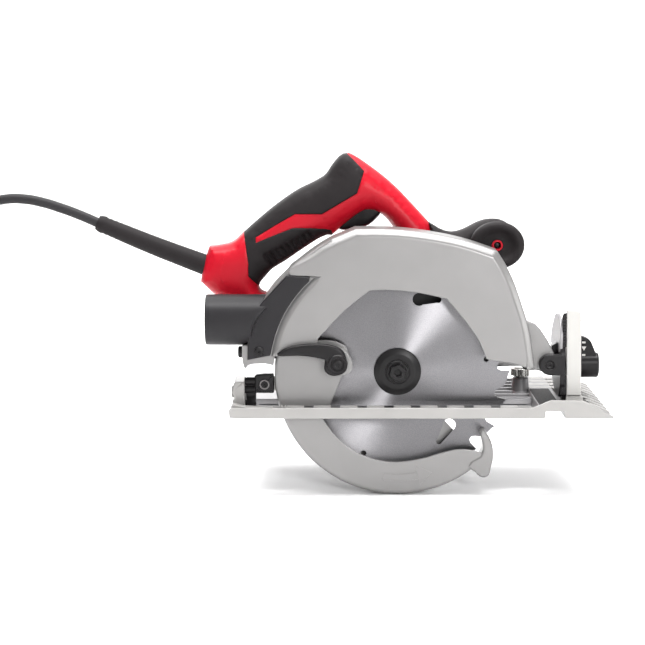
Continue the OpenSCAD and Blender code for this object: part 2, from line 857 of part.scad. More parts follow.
// Bracket on the depth pivot that carries the front bevel pin and the lock bolt
module front_carrier() {
    color("#2b2b2b") difference() {
        union() {
            for (y = [[-12, -4], [16, 24]]) {
                rod_y(9, y[0], y[1], pivot_x, pivot_z);
                box(pivot_x, 139, y[0], y[1], pivot_z - 9, pivot_z + 9);
            }
            box(136.5, 141, -12, 60, 30, 58);
            translate([136.5, 0, 0]) rotate([90, 0, 90]) linear_extrude(4.5)
                polygon([[-12, 56], [-10, 72], [0, 80], [14, 84], [30, 82], [46, 72], [60, 58], [60, 26],
                    [30, 14], [2, 12], [-2, 14], [-12, 24]]);
            translate([139.6, 0, 0]) rotate([90, 0, 90]) linear_extrude(2.7)
                polygon([[-4.6, bevel_z], [-10, 30], [16, 30], [10, 14], [4.6, bevel_z]]);
            rod_x(ear_r, 139.6, 142.3, 0, bevel_z);
        }
        rod_y(4, -20, 30, pivot_x, pivot_z);
        rod_x(4, 130, 150, lock_y, lock_z);
        rod_x(pin_r, 130, 150, 0, bevel_z);
    }
}

// Screws and pins of the carrier: depth pivot, rear clamp, bevel pins and bevel lock bolt
module carrier_screws() {
    color("#151515") {
        screw_y(pivot_x, pivot_z, 6, -14, -12, 3.97, 25);
        screw_y(clamp_at.x, clamp_at.y, 4.2, -9.8, -8, 3, 10);
        rod_x(pin_r, 139.6, 156, 0, bevel_z);
        rod_x(pin_r, -140, -122, 0, bevel_z);
        rod_x(4, 136.5, 158, lock_y, lock_z);
    }
}

// Block on the rear bevel pin, clamped to the depth arm
module rear_block() {
    color("#2b2b2b") difference() {
        union() {
            box(-121, -104.6, -8, 20, 15, 34);
            translate([-128, 0, 0]) rotate([90, 0, 90]) linear_extrude(8)
                polygon([[-4.6, bevel_z], [-7, 14], [-7, 30], [10, 30], [10, 14], [4.6, bevel_z]]);
            rod_x(ear_r, -128, -120, 0, bevel_z);
        }
        rod_x(pin_r, -130, -122, 0, bevel_z);
        rod_y(3, -10, 10, clamp_at.x, clamp_at.y);
    }
}

function arm_arc(r, a0, a1) = arc(pivot_x, pivot_z, r, a0, a1, 10);

// Slotted arm, curved about the front pivot
module depth_arm() {
    slot_r = 4.1;
    top = bolt_angle - depth_travel;
    color("silver") difference() {
        slab(20, 24) union() {
            polygon(concat(arm_arc(arm_r + 10, bolt_angle + 2, top),
                arc(pivot_x + arm_r * cos(top), pivot_z + arm_r * sin(top), 10, top, top - 180, 10),
                arm_arc(arm_r - 10, top, bolt_angle + 2)));
            polygon([[-120, 15], [-120, 31], [-104, 31], [-86.5, 45], [-70, 41], [-66, 30],
                [-72, 19], [-90, 15]]);
        }
        slab(10, 30) polygon(concat(arc(pivot_x, pivot_z, arm_r + slot_r, bolt_angle, top, 24),
            arc(pivot_x, pivot_z, arm_r - slot_r, top, bolt_angle, 24)));
        rod_y(slot_r + 0.1, 10, 30, bolt_x, bolt_z);
        rod_y(slot_r + 0.1, 10, 30, pivot_x + arm_r * cos(top), pivot_z + arm_r * sin(top));
    }
}

// ---- Shoe ----

// Fence clamp's place on the shoe
fence_screw_x = 112;
fence_screw_y = 75;

// Near rail's raised front end
module rail_ramp() {
    slab(shoe_y0, -29)
        polygon([[112, 0], [112, 8], [116, rail_h], [129, 15.5], [155, 14.5],
            [shoe_x1 - 1, 2], [shoe_x1, 0]]);
}

// Ribs that run forward over the fence channel
module nose_ribs() {
    pitch = 17;
    for (k = [0:8])
        slab(pitch * k - 14, pitch * k - 11)
            polygon([[fence_x0 - 8, 0], [fence_x0 - 4, 9.5], [156, 9.5],
                [shoe_x1 - 2, 2.5], [shoe_x1 - 2, 0]]);
}

module shoe_plate() {
    rib = 2.5;
    color("gainsboro") difference() {
        union() {
            box(shoe_x0, shoe_x1, shoe_y0, shoe_y1, 0, shoe_t);
            box(shoe_x0, 116, shoe_y0, shoe_y0 + rib, 0, rail_h);
            rail_ramp();
            nose_ribs();
            box(fence_x0 - 5, fence_x1 + 1.4, shoe_y0, shoe_y1, 0, 9);
            box(shoe_x0, shoe_x1, shoe_y1 - 3, shoe_y1, 0, 7);
            for (x = [[shoe_x0, -42], [42, 116]])
                box(x[0], x[1], slot_y1, slot_y1 + rib, 0, 7);
            for (x = [-90:40:90])
                box(x, x + rib, 56, shoe_y1, 0, 6);
            box(shoe_x0 + 1, -129, -12, 24, 0, 28);
            rod_z(7, 0, 18, fence_screw_x, fence_screw_y);
        }
        box(slot_x0, slot_x1, slot_y0, slot_y1, -1, 40);
        box(fence_x0, fence_x1, shoe_y0 - 1, shoe_y1 + 1, -1, 6);
        rod_x(pin_r + 0.05, -150, -120, 0, bevel_z);
        rod_z(3, -1, 20, fence_screw_x, fence_screw_y);
        box(fence_x1 + 1.4, 160, -13, 64, shoe_t, 20);
    }
}

// Upright sector plate with the bevel scale's arc slot
module bevel_quadrant() {
    arc_slot = arc(0, bevel_z, lock_r + 4.15, 90 - lock_angle, 90 - lock_angle + bevel_travel, 16);
    arc_back = arc(0, bevel_z, lock_r - 4.15, 90 - lock_angle + bevel_travel, 90 - lock_angle, 16);
    color("whitesmoke") difference() {
        union() {
            translate([145, 0, 0]) rotate([90, 0, 90]) linear_extrude(5)
                polygon(concat([[-11, shoe_t], [-11, 70]], arc(0, bevel_z, 78, 98, 38, 12),
                    [[62, shoe_t]]));
            translate([142.6, 0, 0]) rotate([90, 0, 90]) linear_extrude(12.9)
                polygon([[-11, shoe_t], [-11, 84], [-7, 86], [-5, 86], [-5, shoe_t]]);
        }
        translate([140, 0, 0]) rotate([90, 0, 90]) linear_extrude(20)
            polygon(concat(arc_slot, arc_back));
        for (a = [90 - lock_angle, 90 - lock_angle + bevel_travel])
            rod_x(4.15, 140, 160, lock_r * cos(a), bevel_z + lock_r * sin(a));
        rod_x(pin_r + 0.05, 140, 160, 0, bevel_z);
    }
}

// Lever on the bevel lock bolt
module bevel_lock() {
    color("#202020") difference() {
        union() {
            rod_x(9.5, 158, 171, lock_y, lock_z);
            translate([158.5, 0, lock_z]) slab(lock_y - 6, lock_y + 6)
                polygon([[0, 6], [0, 27], [3, 28], [9, 24], [11.5, 8]]);
        }
        rod_x(4.03, 150, 166, lock_y, lock_z);
    }
}

// Thumb screw of the parallel fence
module fence_screw() {
    color("darkgray") {
        rod_z(2.95, 4, 19, fence_screw_x, fence_screw_y);
        rod_z(8.5, 19, 27, fence_screw_x, fence_screw_y);
    }
}

upper_guard();
gear_case();
bearing_plate();
motor_housing();
motor_end_cap();
field_core();
field_coils();
brush_holders();
brush_springs();
carbon_brushes();
armature_bearings();
spindle_bearings();
handle_near();
handle_far();
grip_cover();
switch_body();
trigger_pin();
trigger_spring();
aux_handle();
aux_handle_ring();
dust_nozzle();
nozzle_screws();
handle_screws();
motor_screws();
depth_bolt();
guard_spring();
cord_sleeve();
cord();
cord_coil();
cord_tie();
plug_body();
plug_pins();
blade();
inner_flange();
outer_flange();
blade_bolt();
spindle();
driven_gear();
armature_shaft();
armature_core();
commutator();
cooling_fan();
pinion();
lower_guard();
guard_lever();
lever_screw();
trigger();
lock_off_button();
spindle_lock_button();
depth_lever();
front_carrier();
carrier_screws();
rear_block();
depth_arm();
shoe_plate();
bevel_quadrant();
bevel_lock();
fence_screw();
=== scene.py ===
import json
import math
import bmesh
import bpy
import numpy as np
from mathutils import Matrix, Vector, geometry


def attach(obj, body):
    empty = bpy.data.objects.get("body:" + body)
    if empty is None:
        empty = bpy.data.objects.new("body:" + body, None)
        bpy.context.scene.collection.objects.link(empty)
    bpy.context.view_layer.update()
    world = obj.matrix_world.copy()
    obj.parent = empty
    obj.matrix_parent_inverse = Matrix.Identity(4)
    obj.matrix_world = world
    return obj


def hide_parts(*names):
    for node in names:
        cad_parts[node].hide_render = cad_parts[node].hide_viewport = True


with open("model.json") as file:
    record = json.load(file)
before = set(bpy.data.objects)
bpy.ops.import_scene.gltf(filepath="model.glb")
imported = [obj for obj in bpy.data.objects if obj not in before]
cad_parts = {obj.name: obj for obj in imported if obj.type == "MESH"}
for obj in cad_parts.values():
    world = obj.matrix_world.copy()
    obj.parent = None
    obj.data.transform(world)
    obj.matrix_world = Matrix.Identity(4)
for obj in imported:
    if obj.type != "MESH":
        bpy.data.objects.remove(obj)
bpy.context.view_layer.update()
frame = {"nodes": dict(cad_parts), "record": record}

MM = 0.001

# Places that several pieces share, in millimetres: X along the cut, Y towards the motor, Z up
ARBOR_Z = 35
HANDLE_Y = 45
MOTOR_X, MOTOR_Z = -14, 61.5
PIVOT_X, PIVOT_Z = 128, 42


# ---- Camera, lights and floor ----

def aim(obj, place, target):
    """Puts obj at place, looking at target."""
    obj.location = place
    direction = Vector(target) - Vector(place)
    obj.rotation_euler = direction.to_track_quat("-Z", "Y").to_euler()


def make_camera():
    camera = bpy.data.cameras.new("camera")
    camera.sensor_width = 36
    camera.lens = 108.6
    camera.clip_start = 0.05
    camera.clip_end = 30
    obj = bpy.data.objects.new("camera", camera)
    bpy.context.scene.collection.objects.link(obj)
    distance, elevation = 1.65, math.radians(7.5)
    target = Vector((-0.0635, 0.0054, 0.0760))
    back = Vector((0, -math.cos(elevation), math.sin(elevation)))
    aim(obj, target + back * distance, target)
    bpy.context.scene.camera = obj


def make_light(name, place, target, size, power):
    light = bpy.data.lights.new(name, "AREA")
    light.shape = "RECTANGLE"
    light.size, light.size_y = size
    light.energy = power
    obj = bpy.data.objects.new(name, light)
    bpy.context.scene.collection.objects.link(obj)
    aim(obj, place, target)


def make_studio():
    world = bpy.data.worlds.new("studio")
    bpy.context.scene.world = world
    world.use_nodes = True
    world.node_tree.nodes["Background"].inputs["Color"].default_value = (1, 1, 1, 1)
    world.node_tree.nodes["Background"].inputs["Strength"].default_value = 0.3
    make_light("key", (-0.9, -1.5, 1.3), (0, 0, 0.05), (1.2, 1.0), 5)
    make_light("front", (0.3, -2.2, 0.6), (0, 0, 0.05), (2.0, 1.2), 3)
    make_light("strip", (0, -0.25, 1.3), (0, 0, 0.1), (1.4, 0.35), 34)
    make_light("side", (0.45, -1.49, 0.44), (0, 0, 0.035), (0.28, 0.28), 14)
    make_light("right", (1.5, -0.25, 0.25), (0.1, 0, 0.08), (0.5, 0.5), 6)
    make_light("ceiling", (0, 0.8, 2.6), (0, 0.6, 0), (3.5, 3.0), 95)
    make_light("back", (-0.6, 1.8, 0.9), (0, 0, 0.05), (1.4, 1.0), 18)
    make_light("backdrop", (0, 1.6, 3.2), (0, 4.6, 0.3), (7, 2.5), 190)
    bpy.context.scene.view_settings.view_transform = "Standard"


def make_floor(height):
    """A wide sheet that curves up behind the object."""
    bm = bmesh.new()
    rows = [(-6, 0), (3.5, 0)]
    rows += [(3.5 + 1.5 * math.sin(a), 1.5 - 1.5 * math.cos(a)) for a in np.radians(range(10, 91, 10))]
    rows.append((5, 6))
    lines = [[bm.verts.new((x, y, height + z)) for x in (-7, 7)] for y, z in rows]
    for a, b in zip(lines, lines[1:]):
        bm.faces.new((a[0], a[1], b[1], b[0]))
    mesh = bpy.data.meshes.new("floor")
    bm.to_mesh(mesh)
    mesh.shade_smooth()
    obj = bpy.data.objects.new("floor", mesh)
    bpy.context.scene.collection.objects.link(obj)
    mesh.materials.append(floor_material())


# ---- Materials ----

def new_material(name, color, roughness, metallic=0.0, specular=0.5):
    mat = bpy.data.materials.new(name)
    mat.use_nodes = True
    shader = mat.node_tree.nodes["Principled BSDF"]
    shader.inputs["Base Color"].default_value = (*color, 1)
    shader.inputs["Roughness"].default_value = roughness
    shader.inputs["Metallic"].default_value = metallic
    shader.inputs["Specular IOR Level"].default_value = specular
    return mat, shader


def add_node(mat, kind, **values):
    node = mat.node_tree.nodes.new(kind)
    for key, value in values.items():
        if key in node.inputs:
            node.inputs[key].default_value = value
        else:
            setattr(node, key, value)
    return node


def object_noise(mat, scale, detail=3.0, stretch=(1, 1, 1)):
    """Noise in the object's own metres; scale is about one over the size of a grain."""
    links = mat.node_tree.links
    coords = add_node(mat, "ShaderNodeTexCoord")
    mapping = add_node(mat, "ShaderNodeMapping", Scale=stretch)
    noise = add_node(mat, "ShaderNodeTexNoise", Scale=scale, Detail=detail)
    links.new(coords.outputs["Object"], mapping.inputs["Vector"])
    links.new(mapping.outputs["Vector"], noise.inputs["Vector"])
    return noise.outputs["Fac"]


def spread(mat, fac, low, high):
    """Stretches a noise's middle range to low..high."""
    node = add_node(mat, "ShaderNodeMapRange")
    for key, value in (("From Min", 0.3), ("From Max", 0.7), ("To Min", low), ("To Max", high)):
        node.inputs[key].default_value = value
    mat.node_tree.links.new(fac, node.inputs["Value"])
    return node.outputs["Result"]


def tint(mat, shader, fac, color, change):
    """Colour that drifts between two shades of color with fac."""
    ramp = add_node(mat, "ShaderNodeValToRGB")
    ramp.color_ramp.elements[0].position = 0.3
    ramp.color_ramp.elements[1].position = 0.7
    ramp.color_ramp.elements[0].color = (*[c * (1 - change) for c in color], 1)
    ramp.color_ramp.elements[1].color = (*[min(1, c * (1 + change)) for c in color], 1)
    mat.node_tree.links.new(fac, ramp.inputs["Fac"])
    mat.node_tree.links.new(ramp.outputs["Color"], shader.inputs["Base Color"])


def bump(mat, shader, height, depth, strength=1.0):
    node = add_node(mat, "ShaderNodeBump", Strength=strength, Distance=depth)
    mat.node_tree.links.new(height, node.inputs["Height"])
    mat.node_tree.links.new(node.outputs["Normal"], shader.inputs["Normal"])


def textured(name, color, roughness, metallic=0.0, specular=0.5, grain=0.6, depth=0.02, change=0.05,
             cloud=30.0, rough_change=0.05):
    """A moulded or cast finish: grain size and depth in millimetres, colour and gloss drifting in clouds."""
    mat, shader = new_material(name, color, roughness, metallic, specular)
    clouds = object_noise(mat, 1 / (cloud * MM), 2.0)
    tint(mat, shader, clouds, color, change)
    grains = object_noise(mat, 1 / (grain * MM), 2.0)
    rough = spread(mat, grains, roughness - rough_change, roughness + rough_change)
    mat.node_tree.links.new(rough, shader.inputs["Roughness"])
    bump(mat, shader, grains, depth * MM)
    return mat


def floor_material():
    mat, shader = new_material("floor_paper", (0.95, 0.95, 0.95), 0.9, specular=0.1)
    tint(mat, shader, object_noise(mat, 3.0), (0.95, 0.95, 0.95), 0.004)
    return mat


def brushed_disc():
    """Ground steel whose fine scratches run round the arbor."""
    color = (0.155, 0.152, 0.158)
    mat, shader = new_material("blade_steel", color, 0.33, 1.0)
    links = mat.node_tree.links
    coords = add_node(mat, "ShaderNodeTexCoord")
    centre = add_node(mat, "ShaderNodeVectorMath", operation="SUBTRACT")
    centre.inputs[1].default_value = (0, 0, ARBOR_Z * MM)
    links.new(coords.outputs["Object"], centre.inputs[0])
    flat = add_node(mat, "ShaderNodeVectorMath", operation="MULTIPLY")
    flat.inputs[1].default_value = (1, 0, 1)
    links.new(centre.outputs["Vector"], flat.inputs[0])
    length = add_node(mat, "ShaderNodeVectorMath", operation="LENGTH")
    links.new(flat.outputs["Vector"], length.inputs[0])
    rings = add_node(mat, "ShaderNodeTexNoise", Scale=1 / (0.35 * MM), Detail=2.0)
    rings.noise_dimensions = "1D"
    links.new(length.outputs["Value"], rings.inputs["W"])
    mottle = object_noise(mat, 1 / (0.7 * MM), 3.0)
    both = add_node(mat, "ShaderNodeMath", operation="ADD")
    links.new(rings.outputs["Fac"], both.inputs[0])
    links.new(mottle, both.inputs[1])
    bump(mat, shader, both.outputs["Value"], 0.006 * MM)
    tint(mat, shader, mottle, color, 0.16)
    radial = add_node(mat, "ShaderNodeVectorMath", operation="NORMALIZE")
    links.new(flat.outputs["Vector"], radial.inputs[0])
    links.new(radial.outputs["Vector"], shader.inputs["Tangent"])
    shader.inputs["Anisotropic"].default_value = 0.96
    return mat


RED = (0.34, 0.0035, 0.012)

# Per finish: colour, roughness, metallic, specular, grain, depth, colour change
FINISHES = {
    "cast_silver": ((0.172, 0.168, 0.166), 0.33, 0.35, 0.5, 0.5, 0.012, 0.03),
    "cast_gear": ((0.19, 0.186, 0.19), 0.45, 0.5, 0.5, 0.9, 0.03, 0.05),
    "red_plastic": (RED, 0.38, 0.0, 0.14, 0.35, 0.012, 0.04),
    "black_plastic": ((0.0060, 0.0052, 0.0057), 0.38, 0.0, 0.16, 0.4, 0.02, 0.10),
    "grey_plastic": ((0.0115, 0.0107, 0.0120), 0.44, 0.0, 0.16, 0.45, 0.02, 0.06),
    "grip_rubber": ((0.0110, 0.0092, 0.0097), 0.60, 0.0, 0.12, 0.55, 0.05, 0.12),
    "cord_rubber": ((0.0160, 0.0150, 0.0162), 0.55, 0.0, 0.18, 0.6, 0.03, 0.10),
    "black_steel": ((0.0070, 0.0064, 0.0068), 0.34, 0.05, 0.18, 0.5, 0.01, 0.12),
    "zinc_steel": ((0.35, 0.345, 0.33), 0.32, 0.8, 0.5, 0.6, 0.01, 0.06),
    "gear_steel": ((0.40, 0.39, 0.38), 0.30, 0.9, 0.5, 0.3, 0.01, 0.08),
    "shoe_metal": ((0.235, 0.229, 0.222), 0.42, 0.3, 0.5, 0.6, 0.015, 0.04),
    "quadrant_paint": ((0.36, 0.352, 0.338), 0.38, 0.0, 0.4, 0.5, 0.01, 0.02),
    "lamination": ((0.16, 0.15, 0.15), 0.5, 0.7, 0.5, 0.5, 0.03, 0.10),
    "copper_wire": ((0.55, 0.20, 0.08), 0.35, 0.9, 0.5, 0.5, 0.05, 0.12),
    "brass": ((0.62, 0.43, 0.16), 0.30, 1.0, 0.5, 0.5, 0.01, 0.08),
    "carbon": ((0.02, 0.02, 0.022), 0.6, 0.0, 0.4, 0.3, 0.02, 0.10),
    "fan_plastic": ((0.62, 0.60, 0.56), 0.5, 0.0, 0.5, 0.4, 0.02, 0.05),
}
MATERIALS = {name: textured(name, *values) for name, values in FINISHES.items()}
MATERIALS["blade_steel"] = brushed_disc()


# ---- Outlines: lists of (x, z) in millimetres ----

def polar(radius, degrees, centre=(0, ARBOR_Z)):
    a = math.radians(degrees)
    return (centre[0] + radius * math.cos(a), centre[1] + radius * math.sin(a))


def arc(radius, start, end, count, centre=(0, ARBOR_Z)):
    return [polar(radius, start + (end - start) * i / count, centre) for i in range(count + 1)]


def smooth(points, corners=(), closed=True, step=3.0):
    """A rounded line through the points. It turns sharply only at the corners, which are indices."""
    pts = [Vector(p) for p in points]
    n = len(pts)

    def heading(i, ahead):
        before = pts[i] - pts[i - 1]
        after = pts[(i + 1) % n] - pts[i]
        end = not closed and i in (0, n - 1)
        if i in corners or end:
            if end:
                ahead = i == 0
            return (after if ahead else before).normalized()
        return (before.normalized() * after.length + after.normalized() * before.length).normalized()

    line = []
    for i in range(n if closed else n - 1):
        a, b = pts[i], pts[(i + 1) % n]
        span = (b - a).length
        ta, tb = heading(i, True) * span, heading((i + 1) % n, False) * span
        count = max(1, round(span / step))
        for k in range(count):
            u = k / count
            line.append(a * (2 * u**3 - 3 * u**2 + 1) + ta * (u**3 - 2 * u**2 + u)
                        + b * (3 * u**2 - 2 * u**3) + tb * (u**3 - u**2))
    if not closed:
        line.append(pts[-1])
    return [tuple(p) for p in line]


def signed_area(loop):
    return sum(a[0] * b[1] - b[0] * a[1] for a, b in zip(loop, loop[1:] + loop[:1])) / 2


def inset(line, distance, closed=True):
    """Moves a line to its left by distance, or by one per point: inwards on an anticlockwise loop."""
    pts = [Vector(p) for p in line]
    n = len(pts)
    widths = distance if hasattr(distance, "__len__") else [distance] * n
    moved = []
    for i, p in enumerate(pts):
        before = p - pts[i - 1] if closed or i > 0 else pts[1] - pts[0]
        after = pts[(i + 1) % n] - p if closed or i < n - 1 else p - pts[i - 1]
        a, b = before.normalized(), after.normalized()
        left = Vector((-a.y - b.y, a.x + b.x)).normalized()
        reach = widths[i] / max(0.5, left.dot(Vector((-a.y, a.x))))
        moved.append(tuple(p + left * reach))
    return moved


# ---- Mesh pieces ----

def place(piece, body, slot, replaced=()):
    """Gives a piece its material, the body that it moves with and the CAD nodes that it stands for."""
    piece.data.materials.clear()
    piece.data.materials.append(MATERIALS[slot])
    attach(piece, body)
    if replaced:
        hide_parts(*replaced)
    return piece


def piece_from(name, bm, sharp=38.0):
    """Object from a bmesh in millimetres. Edges steeper than sharp degrees stay crisp."""
    bmesh.ops.remove_doubles(bm, verts=bm.verts, dist=0.0005)
    bmesh.ops.recalc_face_normals(bm, faces=bm.faces)
    limit = math.radians(sharp)
    for edge in bm.edges:
        edge.smooth = len(edge.link_faces) == 2 and edge.calc_face_angle(0) < limit
    for face in bm.faces:
        face.smooth = True
    bmesh.ops.scale(bm, vec=(MM, MM, MM), verts=bm.verts)
    mesh = bpy.data.meshes.new(name)
    bm.to_mesh(mesh)
    bm.free()
    obj = bpy.data.objects.new(name, mesh)
    bpy.context.scene.collection.objects.link(obj)
    flats = obj.modifiers.new("even_flats", "WEIGHTED_NORMAL")
    flats.keep_sharp = True
    return obj


def cap(bm, ring):
    return bm.faces.new(ring)


def loft(bm, rings, closed=True):
    """Quads between successive rings of equally many points. Returns the rings' vertices."""
    lines = [[bm.verts.new(p) for p in ring] for ring in rings]
    for a, b in zip(lines, lines[1:]):
        n = len(a)
        for i in range(n if closed else n - 1):
            k = (i + 1) % n
            bm.faces.new((a[i], a[k], b[k], b[i]))
    return lines


def add_prism(bm, outline, y0, y1, edge=0.8, steps=3):
    """Solid plate between y0 and y1 with its outline's edges rounded over by edge."""
    if signed_area(outline) < 0:
        outline = outline[::-1]
    turns = [math.pi / 2 * i / steps for i in range(steps + 1)]
    profile = [(edge * (1 - math.sin(t)), y0 + edge * (1 - math.cos(t))) for t in turns]
    profile += [(edge * (1 - math.cos(t)), y1 - edge * (1 - math.sin(t))) for t in turns]
    rings = [[(x, y, z) for x, z in inset(outline, d)] for d, y in profile]
    lines = loft(bm, rings)
    cap(bm, lines[0])
    cap(bm, lines[-1][::-1])


def add_lathe(bm, profile, centre, segments=64, skip=None):
    """Turns (radius, y) points about an axis along Y. skip(row, segment) leaves a face out."""
    rows = []
    for radius, y in profile:
        if radius < 0.001:
            rows.append([bm.verts.new((centre[0], y, centre[1]))])
            continue
        rows.append([bm.verts.new((centre[0] + radius * math.cos(a), y, centre[1] + radius * math.sin(a)))
                     for a in (2 * math.pi * i / segments for i in range(segments))])
    for r, (a, b) in enumerate(zip(rows, rows[1:])):
        for i in range(segments):
            k = (i + 1) % segments
            if skip and skip(r, i):
                continue
            face = [a[i % len(a)], a[k % len(a)], b[k % len(b)], b[i % len(b)]]
            bm.faces.new(list(dict.fromkeys(face)))


def settle(obj, sharp=38.0):
    """Turns an object's modifiers into plain mesh and marks its crisp edges."""
    bpy.context.view_layer.update()
    graph = bpy.context.evaluated_depsgraph_get()
    mesh = bpy.data.meshes.new_from_object(obj.evaluated_get(graph))
    obj.modifiers.clear()
    obj.data = mesh
    bm = bmesh.new()
    bm.from_mesh(mesh)
    for edge in bm.edges:
        edge.smooth = len(edge.link_faces) == 2 and edge.calc_face_angle(0) < math.radians(sharp)
    bm.to_mesh(mesh)
    bm.free()
    return obj


def sweep(name, path, radii, segments=24):
    """Round tube along a path, with one radius per point, closed at both ends. Millimetres."""
    bm = bmesh.new()
    pts = [Vector(p) for p in path]
    rings = []
    for i, p in enumerate(pts):
        along = (pts[min(i + 1, len(pts) - 1)] - pts[max(i - 1, 0)]).normalized()
        side = along.cross(Vector((0, 1, 0))).normalized()
        up = side.cross(along)
        rings.append([p + (side * math.cos(a) + up * math.sin(a)) * radii[i]
                      for a in (2 * math.pi * k / segments for k in range(segments))])
    lines = loft(bm, rings)
    cap(bm, lines[0])
    cap(bm, lines[-1][::-1])
    return piece_from(name, bm)


# ---- Relief: a flat outline swollen to a rounded body ----

def as_segments(loops):
    a = np.concatenate([np.array(loop, float) for loop in loops])
    b = np.concatenate([np.roll(np.array(loop, float), -1, axis=0) for loop in loops])
    return a, b


def edge_distance(points, loops):
    a, b = as_segments(loops)
    ab = b - a
    scale = np.maximum((ab**2).sum(1), 1e-12)
    best = np.full(len(points), np.inf)
    for k in range(0, len(points), 500):
        p = points[k:k + 500, None, :]
        t = np.clip(((p - a) * ab).sum(2) / scale, 0, 1)
        gap = p - (a + ab * t[..., None])
        best[k:k + 500] = np.sqrt((gap**2).sum(2)).min(1)
    return best


def inside(points, loop):
    """Which points lie within a loop."""
    a = np.array(loop, float)
    b = np.roll(a, -1, axis=0)
    x, z = points[:, 0, None], points[:, 1, None]
    crosses = (a[:, 1] > z) != (b[:, 1] > z)
    rise = np.where(b[:, 1] == a[:, 1], 1e-9, b[:, 1] - a[:, 1])
    at = a[:, 0] + (z - a[:, 1]) * (b[:, 0] - a[:, 0]) / rise
    return ((crosses & (x < at)).sum(1) % 2) == 1


def fill_region(outline, holes, seams, bend, spacing):
    """Triangles over the outline less its holes, finer near its edges, with the seams as edges."""
    loops = [outline, *holes]
    points, edges = [], []
    for loop in [*loops, *seams]:
        first = len(points)
        points += loop
        edges += [(first + i, first + (i + 1) % len(loop)) for i in range(len(loop))]
    extra = []
    turns = np.radians([12, 24, 36, 48, 60, 72, 84])
    for depth in bend * (1 - np.cos(turns)):
        for loop in loops:
            way = depth if (signed_area(loop) > 0) == (loop is outline) else -depth
            extra += [(p, depth * 0.96) for p in inset(loop, way)]
    for seam in seams:
        for way in (-0.7, 0.7):
            extra += [(p, 0.3) for p in inset(seam, way)]
    low, high = np.min(outline, axis=0), np.max(outline, axis=0)
    row = 0
    z = low[1]
    while z < high[1]:
        x = low[0] + (row % 2) * spacing / 2
        while x < high[0]:
            extra.append(((x, z), bend * 0.35))
            x += spacing
        z += spacing * 0.87
        row += 1
    spots = np.array([p for p, _ in extra])
    keep = inside(spots, outline) & (edge_distance(spots, loops) >= np.array([d for _, d in extra]))
    for hole in holes:
        keep &= ~inside(spots, hole)
    if seams:
        keep &= edge_distance(spots, seams) > 0.55
    points += [tuple(p) for p in spots[keep]]
    verts, _, faces, *_ = geometry.delaunay_2d_cdt([Vector(p) for p in points], edges, [], 0, 1e-4)
    verts = np.array([tuple(v) for v in verts])
    faces = np.array([f for f in faces if len(f) == 3])
    middle = verts[faces].mean(1)
    keep = inside(middle, outline)
    for hole in holes:
        keep &= ~inside(middle, hole)
    return verts, faces[keep], middle[keep]


def swell(verts, faces, loops, height, bend, power, passes=12):
    """How far each vertex stands from the middle plane: nothing at the edge, height beyond bend."""
    depth = edge_distance(verts, loops)
    u = np.clip(depth / bend, 0, 1)
    tall = height * (1 - (1 - u)**power)**(1 / power)
    blend = np.clip((depth / bend - 0.35) / 0.4, 0, 1)
    pairs = np.concatenate([faces[:, [0, 1]], faces[:, [1, 2]], faces[:, [2, 0]]])
    pairs = np.concatenate([pairs, pairs[:, ::-1]])
    count = np.maximum(np.bincount(pairs[:, 0], minlength=len(verts)), 1)
    for _ in range(passes):
        mean = np.bincount(pairs[:, 0], weights=tall[pairs[:, 1]], minlength=len(verts)) / count
        tall = tall + (mean - tall) * blend
    return tall


def patch(name, verts, faces, tall, y, side, wall):
    """One side of a relief as a closed shell of an even wall. side is -1 for the near side."""
    bm = bmesh.new()
    made = {}
    for face in faces:
        for i in face:
            if i not in made:
                made[i] = bm.verts.new((verts[i][0], y + side * tall[i], verts[i][1]))
        a, b, c = (made[i] for i in face)
        (x0, z0), (x1, z1), (x2, z2) = (verts[i] for i in face)
        turns_left = (x1 - x0) * (z2 - z0) - (x2 - x0) * (z1 - z0) > 0
        bm.faces.new((a, b, c) if turns_left == (side < 0) else (a, c, b))
    bmesh.ops.scale(bm, vec=(MM, MM, MM), verts=bm.verts)
    for face in bm.faces:
        face.smooth = True
    mesh = bpy.data.meshes.new(name)
    bm.to_mesh(mesh)
    bm.free()
    obj = bpy.data.objects.new(name, mesh)
    bpy.context.scene.collection.objects.link(obj)
    solid = obj.modifiers.new("wall", "SOLIDIFY")
    solid.thickness = wall * MM
    solid.offset = -1
    return settle(obj, 50)


def relief_body(name, outline, y, height, bend, power=2.2, spacing=2.5):
    """Closed rounded body, symmetrical about the plane at y."""
    verts, faces, _ = fill_region(outline, [], [], bend, spacing)
    tall = swell(verts, faces, [outline], height, bend, power)
    bm = bmesh.new()
    sides = [[bm.verts.new((v[0], y + s * h, v[1])) for v, h in zip(verts, tall)] for s in (-1, 1)]
    for line in sides:
        for a, b, c in faces:
            bm.faces.new((line[a], line[b], line[c]))
    return piece_from(name, bm, 60)


# ---- Mains lead ----

LEAD_D = 8.5
LEAD_FLOOR = ARBOR_Z - 104
LEAD_LOW = LEAD_FLOOR + LEAD_D / 2
COIL_X, COIL_Y = -437, 120
PLUG_X = COIL_X - 46
PLUG_Z = LEAD_FLOOR + 3 * LEAD_D + 17.1
PLUG_ENTRY_Y = 100

LEAD_ROUTE = [
    (-256, 45, 157), (-272, 45, 164), (-288, 45, 170), (-304, 45, 175), (-320, 45, 178),
    (-336, 45, 178), (-351, 45, 174), (-364, 45, 165), (-374, 45, 152), (-381, 45, 136),
    (-385, 45, 117), (-387, 45, 96), (-388, 45, 75), (-388, 45, 54), (-388, 46, 33),
    (-388, 47, 12), (-389, 48, -8), (-392, 49, -26), (-397, 50, -42), (-405, 51, -54),
    (-416, 51.5, -61), (-428, 52, LEAD_LOW), (-440, 52, LEAD_LOW)]


